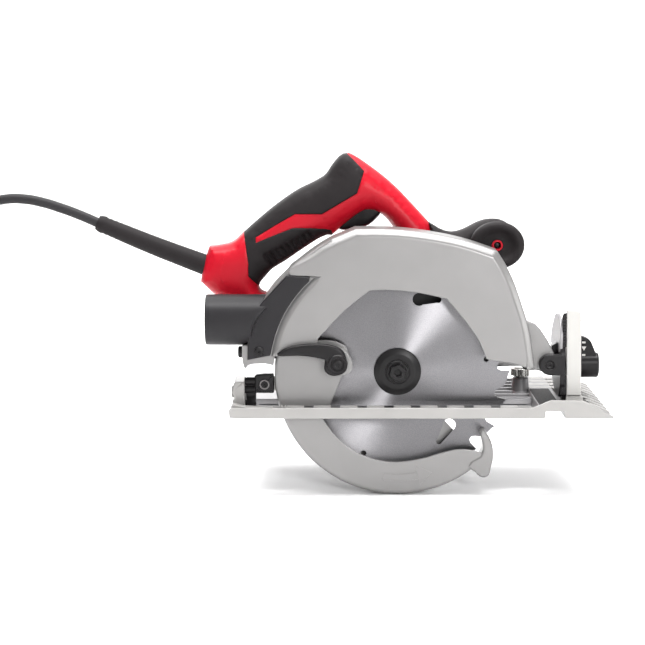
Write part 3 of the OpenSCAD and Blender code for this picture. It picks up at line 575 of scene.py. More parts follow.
def ease(t, start, end):
    u = min(1, max(0, (t - start) / (end - start)))
    return u * u * (3 - 2 * u)


def coil_point(t):
    """The lead after t turns, wound clockwise in three stepped layers, its end rising to the plug."""
    radius = 68 - 5.25 * ease(t, 0, 0.3)
    height = LEAD_LOW
    for k in range(3):
        radius -= LEAD_D * ease(t, k + 0.76, k + 1.06)
        radius += LEAD_D * ease(t, k + 4.3, k + 4.6)
        radius -= LEAD_D * ease(t, k + 7.35, k + 7.65)
    radius += 24 * ease(t, 9.76, 10.2)
    height += LEAD_D * (ease(t, 3.55, 3.85) + ease(t, 7.05, 7.35) + ease(t, 9.66, 9.88))
    height += (PLUG_Z - LEAD_LOW - 3 * LEAD_D) * ease(t, 9.8, 10.16)
    a = math.radians(-90 - 360 * t)
    return (COIL_X + radius * math.cos(a), COIL_Y + radius * math.sin(a), height)


def lead_points():
    turns = [coil_point(i / 16) for i in range(1, 159)]
    tail = [(PLUG_X, PLUG_ENTRY_Y - 18, PLUG_Z), (PLUG_X, PLUG_ENTRY_Y + 1, PLUG_Z)]
    return [Vector(p) * MM for p in LEAD_ROUTE + turns + tail]


def make_lead():
    curve = bpy.data.curves.new("mains_lead", "CURVE")
    curve.dimensions = "3D"
    curve.bevel_depth = LEAD_D / 2 * MM
    curve.bevel_resolution = 5
    curve.resolution_u = 5
    curve.use_fill_caps = True
    points = lead_points()
    spline = curve.splines.new("BEZIER")
    spline.bezier_points.add(len(points) - 1)
    for point, p in zip(spline.bezier_points, points):
        point.co = p
        point.handle_left_type = point.handle_right_type = "AUTO"
    obj = bpy.data.objects.new("mains_lead", curve)
    bpy.context.scene.collection.objects.link(obj)
    return place(obj, "head", "cord_rubber", ("cord", "cord_coil"))


def make_sleeve():
    """Strain relief: a soft tapered tube, thicker at the housing, with a bead at its tip."""
    path = smooth([(-158, 118.5), (-166, 121.5), (-208, 137.5), (-248, 154), (-257.5, 157.9)], closed=False,
                  step=2.4)
    n = len(path)
    radii = []
    for i in range(n):
        u = i / (n - 1)
        bead = 0.5 * math.exp(-((u - 0.965) / 0.018)**2)
        ribs = 0.0 if u < 0.72 else 0.22 * math.cos(2 * math.pi * (u - 0.72) / 0.047)
        radii.append(9.2 - 2.0 * u + bead - max(0, -ribs) * 1.6)
    radii[-1] = 6.2
    radii[-2] = 7.2
    obj = sweep("strain_relief", [(x, HANDLE_Y, z) for x, z in path], radii, 32)
    return place(obj, "head", "grip_rubber", ("cord_sleeve",))


def make_tie():
    """Strap with a rounded section round the coil's bundle."""
    inner, outer, top = 33 - 1.4, 67 + 0.6, 3 * LEAD_D + 0.4
    half = [(inner, 0.1), (inner, top - 4), (inner + 4, top), (outer - 4, top), (outer, top - 4),
            (outer, 0.1)]
    line = smooth(half, closed=False, step=2.5)
    bm = bmesh.new()
    rings = []
    for out, across in ((0, -5.2), (0, -5.8), (0.8, -6), (1.2, -5.4), (1.2, 5.4), (0.8, 6), (0, 5.8),
                        (0, 5.2)):
        rings.append([(x, across, z) for x, z in inset(line, out, closed=False)])
    loft(bm, [*rings, rings[0]], closed=False)
    bmesh.ops.holes_fill(bm, edges=bm.edges)
    turn = Matrix.Translation((COIL_X, COIL_Y, LEAD_FLOOR)) @ Matrix.Rotation(math.radians(25), 4, "Z")
    bmesh.ops.transform(bm, matrix=turn, verts=bm.verts)
    obj = piece_from("cord_strap", bm)
    return place(obj, "head", "grip_rubber", ("cord_tie",))


def make_plug():
    """Two-pin moulded plug with a ribbed strain relief and finger grooves."""
    y0, y1 = COIL_Y, COIL_Y + 32
    profile = [(0, PLUG_ENTRY_Y), (5.4, PLUG_ENTRY_Y), (6.0, PLUG_ENTRY_Y + 1)]
    for k in range(4):
        y = PLUG_ENTRY_Y + 2 + 4 * k
        profile += [(6.3 + 0.35 * k, y), (6.3 + 0.35 * k, y + 2.2), (5.3 + 0.35 * k, y + 2.5),
                    (5.3 + 0.35 * k, y + 3.7)]
    profile += [(8.6, y0 - 1.5), (12.6, y0 + 0.6), (14.0, y0 + 3)]
    for k in range(4):
        y = y0 + 5 + 3.6 * k
        profile += [(14.3 + 0.3 * k, y), (14.9 + 0.3 * k, y + 1.1), (14.3 + 0.3 * k, y + 2.4)]
    profile += [(16.4, y1 - 6), (16.9, y1 - 4.5), (16.9, y1 - 0.8), (16.2, y1), (0, y1)]
    bm = bmesh.new()
    add_lathe(bm, profile, (PLUG_X, PLUG_Z), 48)
    body = place(piece_from("plug_moulding", bm, 30), "head", "cord_rubber", ("plug_body",))
    bm = bmesh.new()
    for side in (-1, 1):
        pin = [(0, y1 - 1), (2.4, y1 - 1), (2.4, y1 + 17.6), (1.9, y1 + 18.6), (1.0, y1 + 19), (0, y1 + 19)]
        add_lathe(bm, pin, (PLUG_X + 9.5 * side, PLUG_Z), 24)
    pins = place(piece_from("plug_contacts", bm, 40), "head", "brass", ("plug_pins",))
    return body, pins


def make_cord():
    lead, sleeve, tie = make_lead(), make_sleeve(), make_tie()
    plug, pins = make_plug()
    points = lead_points()


make_camera()
make_studio()
make_floor(LEAD_FLOOR * MM - 0.0005)
make_cord()


# ---- Upper guard ----

GUARD_FRONT = [(115, 40), (109, 76), (103, 95), (96.5, 113), (90, 126.5), (82.5, 138.5)]
GUARD_TOP = [(56, 147.2), (24, 153.8), (-6, 157), (-36, 157.2), (-56, 148.8)]
GUARD_REAR = [(-93, 121.5), (-107.5, 106), (-116.5, 90), (-122, 72)]
REAR_TAB = [(-126, 60), (-131, 59), (-131, 46)]


def add_shell(bm, stretches, steps):
    """Closed casting lofted through steps. A stretch is (points, inset share, depth share): shares of 1
    follow the outer edge's steps and 0 the opening's. A step is (inset, y) on the edge, then the opening."""
    loop = [p for points, _, _ in stretches for p in points]
    shares = [(wide, deep) for points, wide, deep in stretches for _ in points]
    if signed_area(loop) < 0:
        loop, shares = loop[::-1], shares[::-1]
    rings = []
    for (d1, y1), (d0, y0) in steps:
        line = inset(loop, [d1 * wide + d0 * (1 - wide) for wide, _ in shares])
        rings.append([(x, y1 * deep + y0 * (1 - deep), z) for (x, z), (_, deep) in zip(line, shares)])
    lines = loft(bm, rings)
    cap(bm, lines[0])
    cap(bm, lines[-1][::-1])


def add_guard_face(bm):
    """Near wall with its broad bevel, the window and the wall round it back to the far side."""
    top = smooth(GUARD_FRONT + GUARD_TOP, (5, 9), closed=False, step=4)
    window = smooth([(-80, 50.5), (-68, 48.5)], closed=False, step=4)
    window += smooth([(-66, 56), (-68, 61), (-59, 74), (-46, 88), (-24, 106)], (4,), closed=False, step=4)
    window += smooth([(-10, 106.5), (4, 105.5), (22, 103), (40, 99)], (0, 3), closed=False, step=4)
    window += smooth([(56, 80), (67, 64), (74, 48)], (2,), closed=False, step=4)
    window += smooth([(82, 46.3), (92, 45), (101, 43), (110, 38.5)], closed=False, step=4)
    stretches = [([(115, 37.5)] + top, 1, 1), ([(-65, 143.5), (-72, 138.8)], 0.9, 1),
                 ([(-79, 133.6)], 0.6, 1),
                 ([(-85, 129.2)], 0.35, 1), ([(-90, 125.5), (-93, 121.5)], 0.12, 1),
                 ([(-90.5, 118), (-82, 117.4)], 0.12, 0.15), ([(-75, 117)], 0.25, 0.15),
                 ([polar(107.5, 131)], 0.6, 0.15), (arc(107.5, 133, 168, 14), 0.8, 0.15),
                 ([polar(107.5, 170)], 0.5, 0.15), ([polar(107.5, 172)], 0.1, 0.1), (window, 0, 0)]
    steps = [((9.5, -15.4), (0, -15.5)), ((3.2, -13), (0, -15.5)), ((2.8, -11), (0, -15.5)),
             ((2.8, 14), (0, -15.5)),
             ((0, 14), (0, -15.6)), ((0, -12.4), (0, -15.7)), ((0.4, -13.5), (0, -15.9)),
             ((1.2, -14.3), (0, -16.3)), ((2.9, -15.8), (0, -17.1)), ((4.6, -17.1), (0.1, -17.5)),
             ((5.6, -17.7), (0.35, -17.85)), ((7.0, -18), (0.9, -18))]
    add_shell(bm, stretches, steps)


def add_guard_rear(bm):
    """Chamber behind the dust nozzle, with its thin outer wall."""
    outer = smooth([(-56, 148.8)] + GUARD_REAR, closed=False, step=4) + REAR_TAB
    outer += [(-129.5, 40.5), (-128, 39.5), (-126, 42.3), (-122, 43.4), (-112, 43.8), (-105.2, 42.3)]
    opening = arc(104.8, 176, 117, 18)
    steps = [((2.6, -12.4), (0, -12.4)), ((2.6, 14), (0, 14)), ((0, 14), (0, 14)),
             ((0, -14.2), (0, -14.2)), ((0.4, -15), (0, -15)), ((1.0, -15.2), (0.4, -15.2))]
    add_shell(bm, [(outer, 1, 1), (opening, 0, 0)], steps)


def add_guard_far(bm):
    """Far wall, with its edges rolled, and the pivot's cheek in front."""
    outline = smooth(GUARD_FRONT + GUARD_TOP + GUARD_REAR, (5, 9), closed=False, step=5)
    outline += REAR_TAB + [(-128, 39), (-125, 42.5), (-107, 43.8), (-62, 43.8), (-60, 36), (74, 36),
                           (92, 37), (115, 37.5)]
    add_prism(bm, outline, 13.4, 16, 0.9)
    cheek = [(104, 79), (111, 77.8), (116.8, 75.4), (121, 70.5), (127, 61.5), (132.2, 51)]
    cheek += arc(8.3, 60, -88, 9, (PIVOT_X, PIVOT_Z)) + [(117, 36.5), (106, 38)]
    add_prism(bm, cheek, -3.4, 4, 1.0)
    add_lathe(bm, [(4.2, -3.5), (7.2, -3.5), (7.6, -3), (7.6, 15), (7.2, 15.5), (4.2, 15.5), (4.2, -3.5)],
              (PIVOT_X, PIVOT_Z), 36)


def make_upper_guard():
    bm = bmesh.new()
    add_guard_face(bm)
    add_guard_rear(bm)
    add_guard_far(bm)
    place(piece_from("upper_guard_casting", bm, 30), "head", "cast_silver", ("upper_guard",))


# ---- Dust nozzle ----

NOZZLE_Y, NOZZLE_Z = -2, 79.5
NOZZLE_END = -162


def add_nozzle_root(bm):
    """Inner end of the tube, cut back along a curved crease where it meets the plate."""
    rings = []
    for share, drop in ((0, 0), (0.5, 0), (0.85, 0), (0.95, 0.3), (1, 1)):
        ring = []
        for k in range(72):
            a = 2 * math.pi * k / 72
            y, z = NOZZLE_Y - 21.46 * math.cos(a), NOZZLE_Z + 21.46 * math.sin(a)
            crease = -123 + 27 * min(1, max(0, (z - 58) / 43))**2.8
            far = ease(-math.cos(a), 0, 0.4)
            end = crease * (1 - far) - 121 * far
            ring.append((-137 + (end + 137) * share, y + (max(y, -18.7) - y) * drop, z))
        rings.append(ring)
    lines = loft(bm, rings)
    cap(bm, lines[0])
    cap(bm, lines[-1][::-1])


def make_nozzle():
    """Round tube on a curved mounting plate that lies in the guard's recess."""
    bm = bmesh.new()
    tube = [(18, 0), (18.4, -0.2), (20.6, 0), (21.2, 0.6), (21.5, 2), (21.5, 28), (18, 28),
            (17.8, 14), (18, 0)]
    start = len(bm.verts)
    add_lathe(bm, tube, (0, 0), 72)
    turn = Matrix.Translation((NOZZLE_END, NOZZLE_Y, NOZZLE_Z)) @ Matrix.Rotation(math.radians(-90), 4, "Z")
    bmesh.ops.transform(bm, matrix=turn, verts=bm.verts[start:])
    plate = smooth([(-126.3, 59), (-124.6, 74), (-118.5, 90), (-106.5, 104.3), (-93.6, 118.3)], (4,),
                   closed=False, step=3)
    plate += smooth([(-82, 117.8), (-74, 117)], (1,), closed=False, step=4)
    plate += arc(108.3, 131, 171, 16)[1:] + smooth([(-107.4, 51), (-116, 49.4), (-126.3, 47.3)],
                                                   closed=False, step=4)
    add_prism(bm, plate, -18.9, -14.6, 1.2, 4)
    add_nozzle_root(bm)
    place(piece_from("dust_nozzle_moulding", bm, 30), "head", "grey_plastic", ("dust_nozzle",))


def add_socket_screw(bm, centre, radius, y0, y1, shank_r, y2, sides=6):
    """Pan-head screw along Y: head from y0 (its face) to y1, a socket in it, and a shank to y2."""
    way = 1 if y1 > y0 else -1
    socket = radius * 0.42
    deep = y0 + (y1 - y0) * 0.7
    rim = [(radius * 0.62, y0), (radius * 0.86, y0 + way * 0.25), (radius * 0.97, y0 + way * 0.7),
           (radius, y0 + way * 1.3)]
    profile = [(socket, y0 + way * 0.1), *rim, (radius, y1), (shank_r, y1), (shank_r, y2 - way * 0.5),
               (shank_r * 0.8, y2), (0, y2)]
    add_lathe(bm, profile, centre, 36)
    star = [polar(socket * (1.0 if k % 2 else 0.78), 360 * k / (2 * sides),
                  centre) for k in range(2 * sides)]
    top = [polar(socket, 360 * k / 36, centre) for k in range(36)]
    lip = [bm.verts.new((x, y0 + way * 0.1, z)) for x, z in top]
    mouth = [bm.verts.new((x, y0 + way * 0.25, z)) for x, z in star]
    floor = [bm.verts.new((x, deep, z)) for x, z in star]
    n = len(star)
    for i in range(n):
        k = (i + 1) % n
        bm.faces.new((mouth[i], mouth[k], floor[k], floor[i]))
        a = 36 * i // n
        b = 36 * (i + 1) // n
        bm.faces.new([mouth[i]] + [lip[j % 36] for j in range(a, b + 1)] + [mouth[k]])
    bm.faces.new(floor)


def make_nozzle_screws():
    bm = bmesh.new()
    add_socket_screw(bm, (-116.8, 54.6), 3.9, -20.8, -18, 2.4, -14)
    start = len(bm.verts)
    head = [(0, 0), (3.6, 0), (4.6, 0.5), (5, 1.4), (5, 3.8), (2.6, 4.0), (2.6, 13)]
    add_lathe(bm, head, (0, 0), 32)
    turn = Matrix.Translation((-135, NOZZLE_Y, 52)) @ Matrix.Rotation(math.radians(-90), 4, "Z")
    bmesh.ops.transform(bm, matrix=turn, verts=bm.verts[start:])
    place(piece_from("nozzle_fixings", bm, 30), "head", "black_steel", ("nozzle_screws",))


# ---- Lower guard ----

LOWER_R = 104


def add_guard_cup(bm):
    """Near wall, rounded into the rim that wraps over the blade's teeth."""
    outer = arc(LOWER_R, 165, 312, 60)
    inner = smooth([(73.8, -33.8), (65, -31.2), (52, -30.2), (38, -33), (24, -37.2), (10, -40), (-4, -41),
                    (-18, -39), (-34, -33),
                     (-53, -18), (-63, -4)], closed=False, step=4)
    inner += smooth([(-60, 2), (-57, 8), (-49, 28), (-40.5, 49)], closed=False, step=5)
    inner += smooth([(-44, 58), (-52, 62), (-70, 63), (-90, 62)], closed=False, step=5)
    steps = [((3.5, -9.4), (0, -9.5)), ((2.2, -8.6), (0, -9.5)), ((2.0, 8.4), (0, -9.5)),
             ((0, 8.4), (0, -9.6)),
             ((0, -8.6), (0, -9.7)), ((0.3, -9.8), (0, -9.9)), ((1.0, -10.8), (0, -10.6)),
             ((2.0, -11.35), (0.2, -11.2)),
             ((3.4, -11.5), (0.8, -11.5))]
    add_shell(bm, [(outer, 1, 1), (inner, 0, 0)], steps)


def add_guard_lip(bm):
    """Rounded horn that closes the guard's front end and lifts it as the saw meets the work."""
    horn = smooth([(60, -44), (66, -50), (72, -54.5), (76, -53.8), (79.5, -45), (81.3, -34), (79.6, -24),
                   (75.5, -16.5),
                   (72.5, -13), (70.3, -14.5), (71.5, -22), (72.3, -30), (70, -36), (62, -41)], (12,),
                   step=2.5)
    add_prism(bm, horn, -12.6, 10.4, 2.2, 4)


def add_guard_arrow(bm):
    """Raised arrow that shows which way the blade turns."""
    band = arc(92.5, 262, 281, 10) + arc(86.5, 281, 262, 10)
    add_prism(bm, band, -11.95, -11.2, 0.35, 2)
    head = [polar(98, 281), polar(89.5, 289), polar(81, 281)]
    add_prism(bm, head, -11.95, -11.2, 0.35, 2)


def make_lower_guard():
    bm = bmesh.new()
    add_guard_cup(bm)
    add_prism(bm, arc(LOWER_R - 0.3, 165, 313, 50) + arc(27, 313, 165, 20), 8, 10, 0.6, 2)
    add_lathe(bm, [(25.6, 7), (31, 7), (31, 10.5), (25.6, 10.5), (25.6, 7)], (0, ARBOR_Z), 64)
    add_guard_lip(bm)
    add_guard_arrow(bm)
    boss = smooth([(-46.5, 56.5), (-40.3, 50), (-38.2, 43), (-41, 36), (-47, 34.4), (-58, 34.4),
                   (-61.5, 37.5),
                   (-62, 46), (-70, 50), (-60, 57)], step=3)
    add_prism(bm, boss, -19.2, -11, 0.9, 3)
    place(piece_from("lower_guard_casting", bm, 30), "lower_guard", "cast_silver", ("lower_guard",))


def make_guard_lever():
    """Lifting lever: a long thumb blade that thickens into the screw boss."""
    outline = smooth([(-101.4, 53.7), (-95.5, 57.7), (-89.6, 59.9), (-83.1, 61.1), (-69.2, 62),
                      (-54.2, 60.4),
                      (-47, 56.8), (-44, 51.3), (-42.6, 44.3), (-44.4, 38.2), (-48, 35.9), (-58.6, 36),
                      (-61.3, 38.6),
                      (-61.6, 48.4), (-68.1, 49.9), (-83.1, 51.8), (-92, 51.7), (-100.8, 51.3)],
                      (0, 13, 17), step=2.2)
    obj = relief_body("guard_lever_blade", outline, -23.2, 3.2, 4.5, 2.6, 2.2)
    place(obj, "lower_guard", "black_plastic", ("guard_lever",))
    bm = bmesh.new()
    centre = (-51, ARBOR_Z + 9.6)
    add_lathe(bm, [(5.0, -26.2), (5.6, -27.3), (7.6, -27.4), (8.4, -26.6), (8.6, -24), (5.0, -24),
                   (5.0, -26.2)], centre, 40)
    place(piece_from("guard_lever_boss", bm, 30), "lower_guard", "black_plastic")
    bm = bmesh.new()
    add_socket_screw(bm, centre, 4.2, -26.9, -24, 3, -11.5)
    place(piece_from("guard_lever_screw", bm, 30), "lower_guard", "black_steel", ("lever_screw",))


make_upper_guard()
make_nozzle()
make_nozzle_screws()
make_lower_guard()
make_guard_lever()


# ---- Main handle ----

HANDLE_TOP = [(-169, 107), (-166, 123), (-161, 138), (-150, 139.5), (-142, 141.5), (-132, 149.5),
              (-119, 161), (-99, 177),
              (-84, 187), (-68, 195), (-60.5, 200), (-56.5, 206), (-52, 212), (-46, 217.2), (-41.5, 218),
              (-36, 215.5),
              (-26, 209), (-3, 191), (16, 171.5), (28, 158.5), (32, 146), (31, 96)]
HANDLE_BOTTOM = [(-20, 86), (-52, 82), (-110, 83), (-150, 92), (-158, 96.5)]
HAND_HOLE = [(-118, 103.5), (-113, 111), (-107, 117.5), (-96, 124.5), (-88, 130), (-74, 139.5), (-65, 145),
             (-59.5, 147.2),
             (-55.5, 147), (-52.5, 149.5), (-47, 154.5), (-40, 160), (-32, 166), (-26, 168.8), (-17, 167.5),
             (-4, 156),
             (2, 145), (-2, 128), (-40, 116), (-62, 103), (-80, 97), (-104, 96)]
GRIP_REAR = [(-131.5, 152), (-129, 137), (-127.2, 124), (-127.2, 113), (-121, 106.5), (-113, 99)]
HANDLE_HALF = 18.6
HANDLE_SCREWS = ((-148, 118), (-90, 92), (-72, 156), (10, 150))


def grip_zones():
    """Closed seam on the handle's side: soft grip above and below the coloured stripe."""
    stripe_top = [(-121.5, 142), (-120.5, 146.3), (-104, 156.5), (-87, 166.3), (-64, 166.3), (-34, 184),
                  (-28, 203)]
    stripe_low = [(-52, 140), (-56, 152.5), (-61, 153.5), (-75, 154.5), (-89, 154.5), (-105, 148.2),
                  (-120.5, 141.8)]
    front = [(-36, 211.5), (-46, 221), (-60, 225), (-140, 180)]
    return smooth(GRIP_REAR + [(-100, 95), (-60, 130)] + stripe_low + stripe_top[1:] + front,
                  tuple(range(40)), step=3.0)


def grip_grooves():
    """Closed outlines of the finger grooves across the grip's underside."""
    ahead = Vector((math.cos(math.radians(33)), math.sin(math.radians(33))))
    up = Vector((-ahead.y, ahead.x))
    loops = []
    for k in range(9):
        low = Vector((-108, 122)) + ahead * (1 + 5.2 * k) - up * 1.8
        high = low + up * (13 - 0.45 * k)
        side = ahead * 1.1
        corners = [low, low + side + up, high + side - up, high, high - side - up, low - side + up]
        loops.append([tuple(p) for p in corners])
    return loops


def make_handle():
    outline = smooth(HANDLE_TOP + HANDLE_BOTTOM, (0, 2, 19, 21, 25, 26), step=3.5)
    if signed_area(outline) < 0:
        outline = outline[::-1]
    hole = smooth(HAND_HOLE, (7, 9), step=3.0)
    zone = grip_zones()
    grooves = grip_grooves()
    verts, faces, middle = fill_region(outline, [hole], [zone, *grooves], 17.0, 2.0)
    tall = swell(verts, faces, [outline, hole], HANDLE_HALF, 17.0, 2.3)
    depth = edge_distance(verts, [outline, hole])
    seam = edge_distance(verts, [zone])
    soft = inside(verts, zone) & (seam > 0.3) & (depth > 0.3)
    free = np.clip(depth / 3, 0, 1)
    tall = tall + np.where(soft, 0.45 * free, 0)
    for loop in grooves:
        tall = np.where(inside(verts, loop) & (edge_distance(verts, [loop]) > 0.3), tall - 1.3, tall)
    tall = np.where((seam < 0.15) & (depth > 0.3), tall - 0.35 * free, tall)
    in_grip = inside(middle, zone)
    names = ((-1, "near", "handle_near"), (1, "far", "handle_far"))
    for side, word, node in names:
        shell = patch(f"handle_{word}_shell", verts, faces[~in_grip], tall, HANDLE_Y, side, 2.4)
        place(shell, "head", "red_plastic", (node,))
        grip = patch(f"grip_{word}_rubber", verts, faces[in_grip], tall, HANDLE_Y, side, 1.8)
        place(grip, "head", "grip_rubber", ("grip_cover",) if side < 0 else ())


def make_trigger():
    outline = smooth([(-54, 158), (-51.5, 154), (-48, 151.6), (-43, 151.6), (-34, 153.2), (-23.5, 156),
                      (-17.5, 161),
                      (-13.4, 166.5), (-13.8, 171), (-18, 174.5), (-25, 176), (-36, 171), (-46, 164)],
                      step=2.5)
    obj = relief_body("trigger_blade", outline, HANDLE_Y, 7.0, 6.0, 2.6, 2.2)
    place(obj, "trigger", "black_plastic", ("trigger",))


def make_lock_off():
    x, z = -44, 184
    bm = bmesh.new()
    profile = [(0, 69), (3.4, 69), (4.6, 68.7), (5.6, 68), (6, 66.8), (6, 60.2), (5.4, 59.5), (0, 59.5)]
    add_lathe(bm, profile, (x, z), 36)
    place(piece_from("lock_off_cap", bm, 40), "lock_off_button", "black_plastic", ("lock_off_button",))
    bm = bmesh.new()
    add_lathe(bm, [(6.4, 60), (6.4, 64.6), (7, 65.3), (8.2, 65.4), (9, 64.8), (9.6, 63.2), (9.6, 60),
                   (6.4, 60)], (x, z), 40)
    place(piece_from("lock_off_collar", bm, 40), "head", "black_plastic")


def make_handle_screws():
    bm = bmesh.new()
    for x, z in HANDLE_SCREWS:
        add_lathe(bm, [(3.9, 61), (3.9, 64.4), (4.4, 65), (5.6, 65.2), (6.6, 64.9), (7.2, 64), (7.2, 60),
                       (3.9, 60), (3.9, 61)],
                  (x, z), 32)
    place(piece_from("handle_screw_wells", bm, 40), "head", "red_plastic")
    bm = bmesh.new()
    for x, z in HANDLE_SCREWS:
        add_socket_screw(bm, (x, z), 3.6, 64.2, 62, 1.8, 58)
    place(piece_from("handle_fixings", bm, 30), "head", "black_steel", ("handle_screws",))


# ---- Front handle ----

AUX = (85.5, 140)


def make_aux_handle():
    """Mushroom-ended grip: dished end, waist for the fingers and a neck that flows from the main handle."""
    bm = bmesh.new()
    knob = smooth([(4.9, 22.6), (9, 22.4), (13, 21.2), (16.2, 18.8), (19.2, 17.7), (21.8, 18.8), (23.2, 22),
                   (23.2, 28),
                   (20.6, 40), (17.2, 60), (15.8, 78), (16, 88), (15.2, 97), (12, 102.6), (7, 104.8),
                   (0.01, 105)],
                  closed=False, step=1.6)
    knob = [(0, 30), (4.9, 29.5)] + knob[:-1] + [(0, 105)]
    add_lathe(bm, knob, AUX, 72)
    bmesh.ops.scale(bm, vec=(1, 1, 0.87), space=Matrix.Translation((0, 0, -AUX[1])), verts=bm.verts)
    place(piece_from("front_grip", bm, 40), "head", "grip_rubber", ("aux_handle",))
    outline = smooth([(27, 100), (27.6, 140), (28, 158.6), (31.5, 156.6), (36, 153.8), (42, 151.2),
                      (48, 150.3), (54, 151.4),
                      (60, 153.8), (66, 157), (73, 160), (81, 161.4), (89, 160.8), (97, 156.5),
                      (102.5, 148), (103, 138),
                      (97, 127), (84, 118), (68, 110), (48, 100)], (0, 2), step=3)
    neck = relief_body("front_grip_neck", outline, 44, 17, 13, 2.2, 2.6)
    place(neck, "head", "grip_rubber")
    bm = bmesh.new()
    ring = [(0, 26.5), (3.0, 26.4), (3.0, 21.6), (3.3, 21.1), (4.3, 21.1), (4.75, 21.6), (4.75, 29),
            (0, 29)]
    add_lathe(bm, ring, AUX, 36)
    place(piece_from("front_grip_ring", bm, 40), "head", "red_plastic", ("aux_handle_ring",))
    bm = bmesh.new()
    add_lathe(bm, [(0, 25.4), (1.4, 25.4), (2.4, 25.6), (2.9, 26.2), (2.9, 27), (0, 27)], AUX, 24)
    place(piece_from("front_grip_bolt", bm, 40), "head", "black_steel")


make_handle()
make_trigger()
make_lock_off()
make_handle_screws()
make_aux_handle()


# ---- Solids that lie along the other axes ----

ALONG_X, ALONG_Z = (1, 0, 2), (0, 2, 1)


def along(order, maker, bm, *values):
    """Runs a maker that works along Y, then puts its outline and depth on the other axes."""
    start = len(bm.verts)
    maker(bm, *values)
    bm.verts.ensure_lookup_table()
    for vert in bm.verts[start:]:
        vert.co = Vector([vert.co[k] for k in order])


def soften(points, radius, steps=4):
    """Rounds every corner of a closed outline, with one radius or one for each corner."""
    n = len(points)
    radii = radius if hasattr(radius, "__len__") else [radius] * n
    out = []
    for i, p in enumerate(points):
        p = Vector(p)
        va, vb = Vector(points[i - 1]) - p, Vector(points[(i + 1) % n]) - p
        r = min(radii[i], va.length * 0.48, vb.length * 0.48)
        if r < 0.05:
            out.append(tuple(p))
            continue
        start, end = p + va.normalized() * r, p + vb.normalized() * r
        for k in range(steps + 1):
            u = k / steps
            out.append(tuple(start * (1 - u)**2 + p * 2 * u * (1 - u) + end * u**2))
    return out


def rectangle(x0, x1, z0, z1, radius=0.0):
    corners = [(x0, z0), (x1, z0), (x1, z1), (x0, z1)]
    return soften(corners, radius) if radius else corners


def add_panel(bm, outline, holes, y0, y1, edge=0.5, steps=2):
    """Plate between y0 and y1 with holes through it. All its edges are rounded by edge."""
    loops = [outline if signed_area(outline) > 0 else outline[::-1]]
    loops += [hole if signed_area(hole) < 0 else hole[::-1] for hole in holes]
    turns = [math.pi / 2 * i / steps for i in range(steps + 1)]
    profile = [(edge * (1 - math.sin(t)), y0 + edge * (1 - math.cos(t))) for t in turns]
    profile += [(edge * (1 - math.cos(t)), y1 - edge * (1 - math.sin(t))) for t in turns]
    sides = [loft(bm, [[(x, y, z) for x, z in inset(loop, d)] for d, y in profile]) for loop in loops]
    for end in (0, -1):
        rim = [lines[end] for lines in sides]
        flat = [[(v.co.x, v.co.z) for v in line] for line in rim]
        verts = [v for line in rim for v in line]
        edges, first = [], 0
        for line in rim:
            edges += [(first + i, first + (i + 1) % len(line)) for i in range(len(line))]
            first += len(line)
        result = geometry.delaunay_2d_cdt([Vector(p) for line in flat for p in line], edges, [], 0, 1e-5)
        places, faces, sources = result[0], result[2], result[3]
        middles = np.array([[sum(places[i][k] for i in face) / 3 for k in (0, 1)] for face in faces])
        keep = inside(middles, flat[0])
        for line in flat[1:]:
            keep &= ~inside(middles, line)
        for face, wanted in zip(faces, keep):
            if wanted:
                bm.faces.new([verts[sources[i][0]] for i in face])


# ---- Shoe ----

SHOE_REAR, SHOE_FRONT = -141.5, 179.7
SHOE_NEAR, SHOE_FAR = -32.5, 138
RAIL_PITCH = 22.3


def add_near_rail(bm):
    """Edge guide towards the viewer: low along the blade, raised where the bevel quadrant stands."""
    line = [(SHOE_REAR - 0.3, 0), (SHOE_REAR, 9), (112, 9), (127.5, 15.5), (154.5, 15), (SHOE_FRONT, 1.8),
            (SHOE_FRONT, 0), (139, 0), (137.6, 6.2), (122.8, 6.2), (122.4, 0)]
    add_prism(bm, soften(line, [6, 2.5, 1.5, 1.5, 1.5, 1.2, 0.8, 2, 0.8, 0.8, 1.5]), SHOE_NEAR, -29.2, 0.6)
    add_prism(bm, [(SHOE_REAR + 4, 7.7), (112, 7.7), (112, 8.8), (SHOE_REAR + 4, 8.8)], -29.4, -28.2, 0.2,
              2)
    add_prism(bm, [(-126, 7.7), (112, 7.7), (112, 8.8), (-126, 8.8)], -22.6, -20.8, 0.3, 2)
    for k in range(9):
        x = -86 + RAIL_PITCH * k
        add_prism(bm, rectangle(x - 7.1, x + 7.1, 7.6, 9.6), -30, -22.4, 0.3, 2)
    for x in (-97.5, -94.5):
        add_prism(bm, rectangle(x - 0.7, x + 0.7, 8.4, 10.2, 0.3), -30.6, -25, 0.3, 2)


def add_shoe_sheet(bm):
    """Flat sheet with the blade's slot and the raised channel for the parallel fence."""
    outline = rectangle(SHOE_REAR, 121.5, -31, SHOE_FAR, 3)
    slot = rectangle(-122, 118, -20.5, 25, 4)
    bolt = [polar(3.4, 20 * k, (112, 75)) for k in range(18)]
    along(ALONG_Z, add_panel, bm, outline, [slot, bolt], 0, 3, 0.5)
    channel = soften([(117, 2), (118.5, 9), (139.3, 9), (141.5, 3), (172.5, 3), (174.5, 1.7), (174.5, 0.1),
                      (138.6, 0.1), (137.8, 6), (123.2, 6), (122.4, 0.1), (117, 0.1)],
                     [0, 1, 1, 2, 1, 0.8, 0.6, 1, 0.6, 0.6, 1, 0])
    add_prism(bm, channel, -29.6, SHOE_FAR, 0.5)


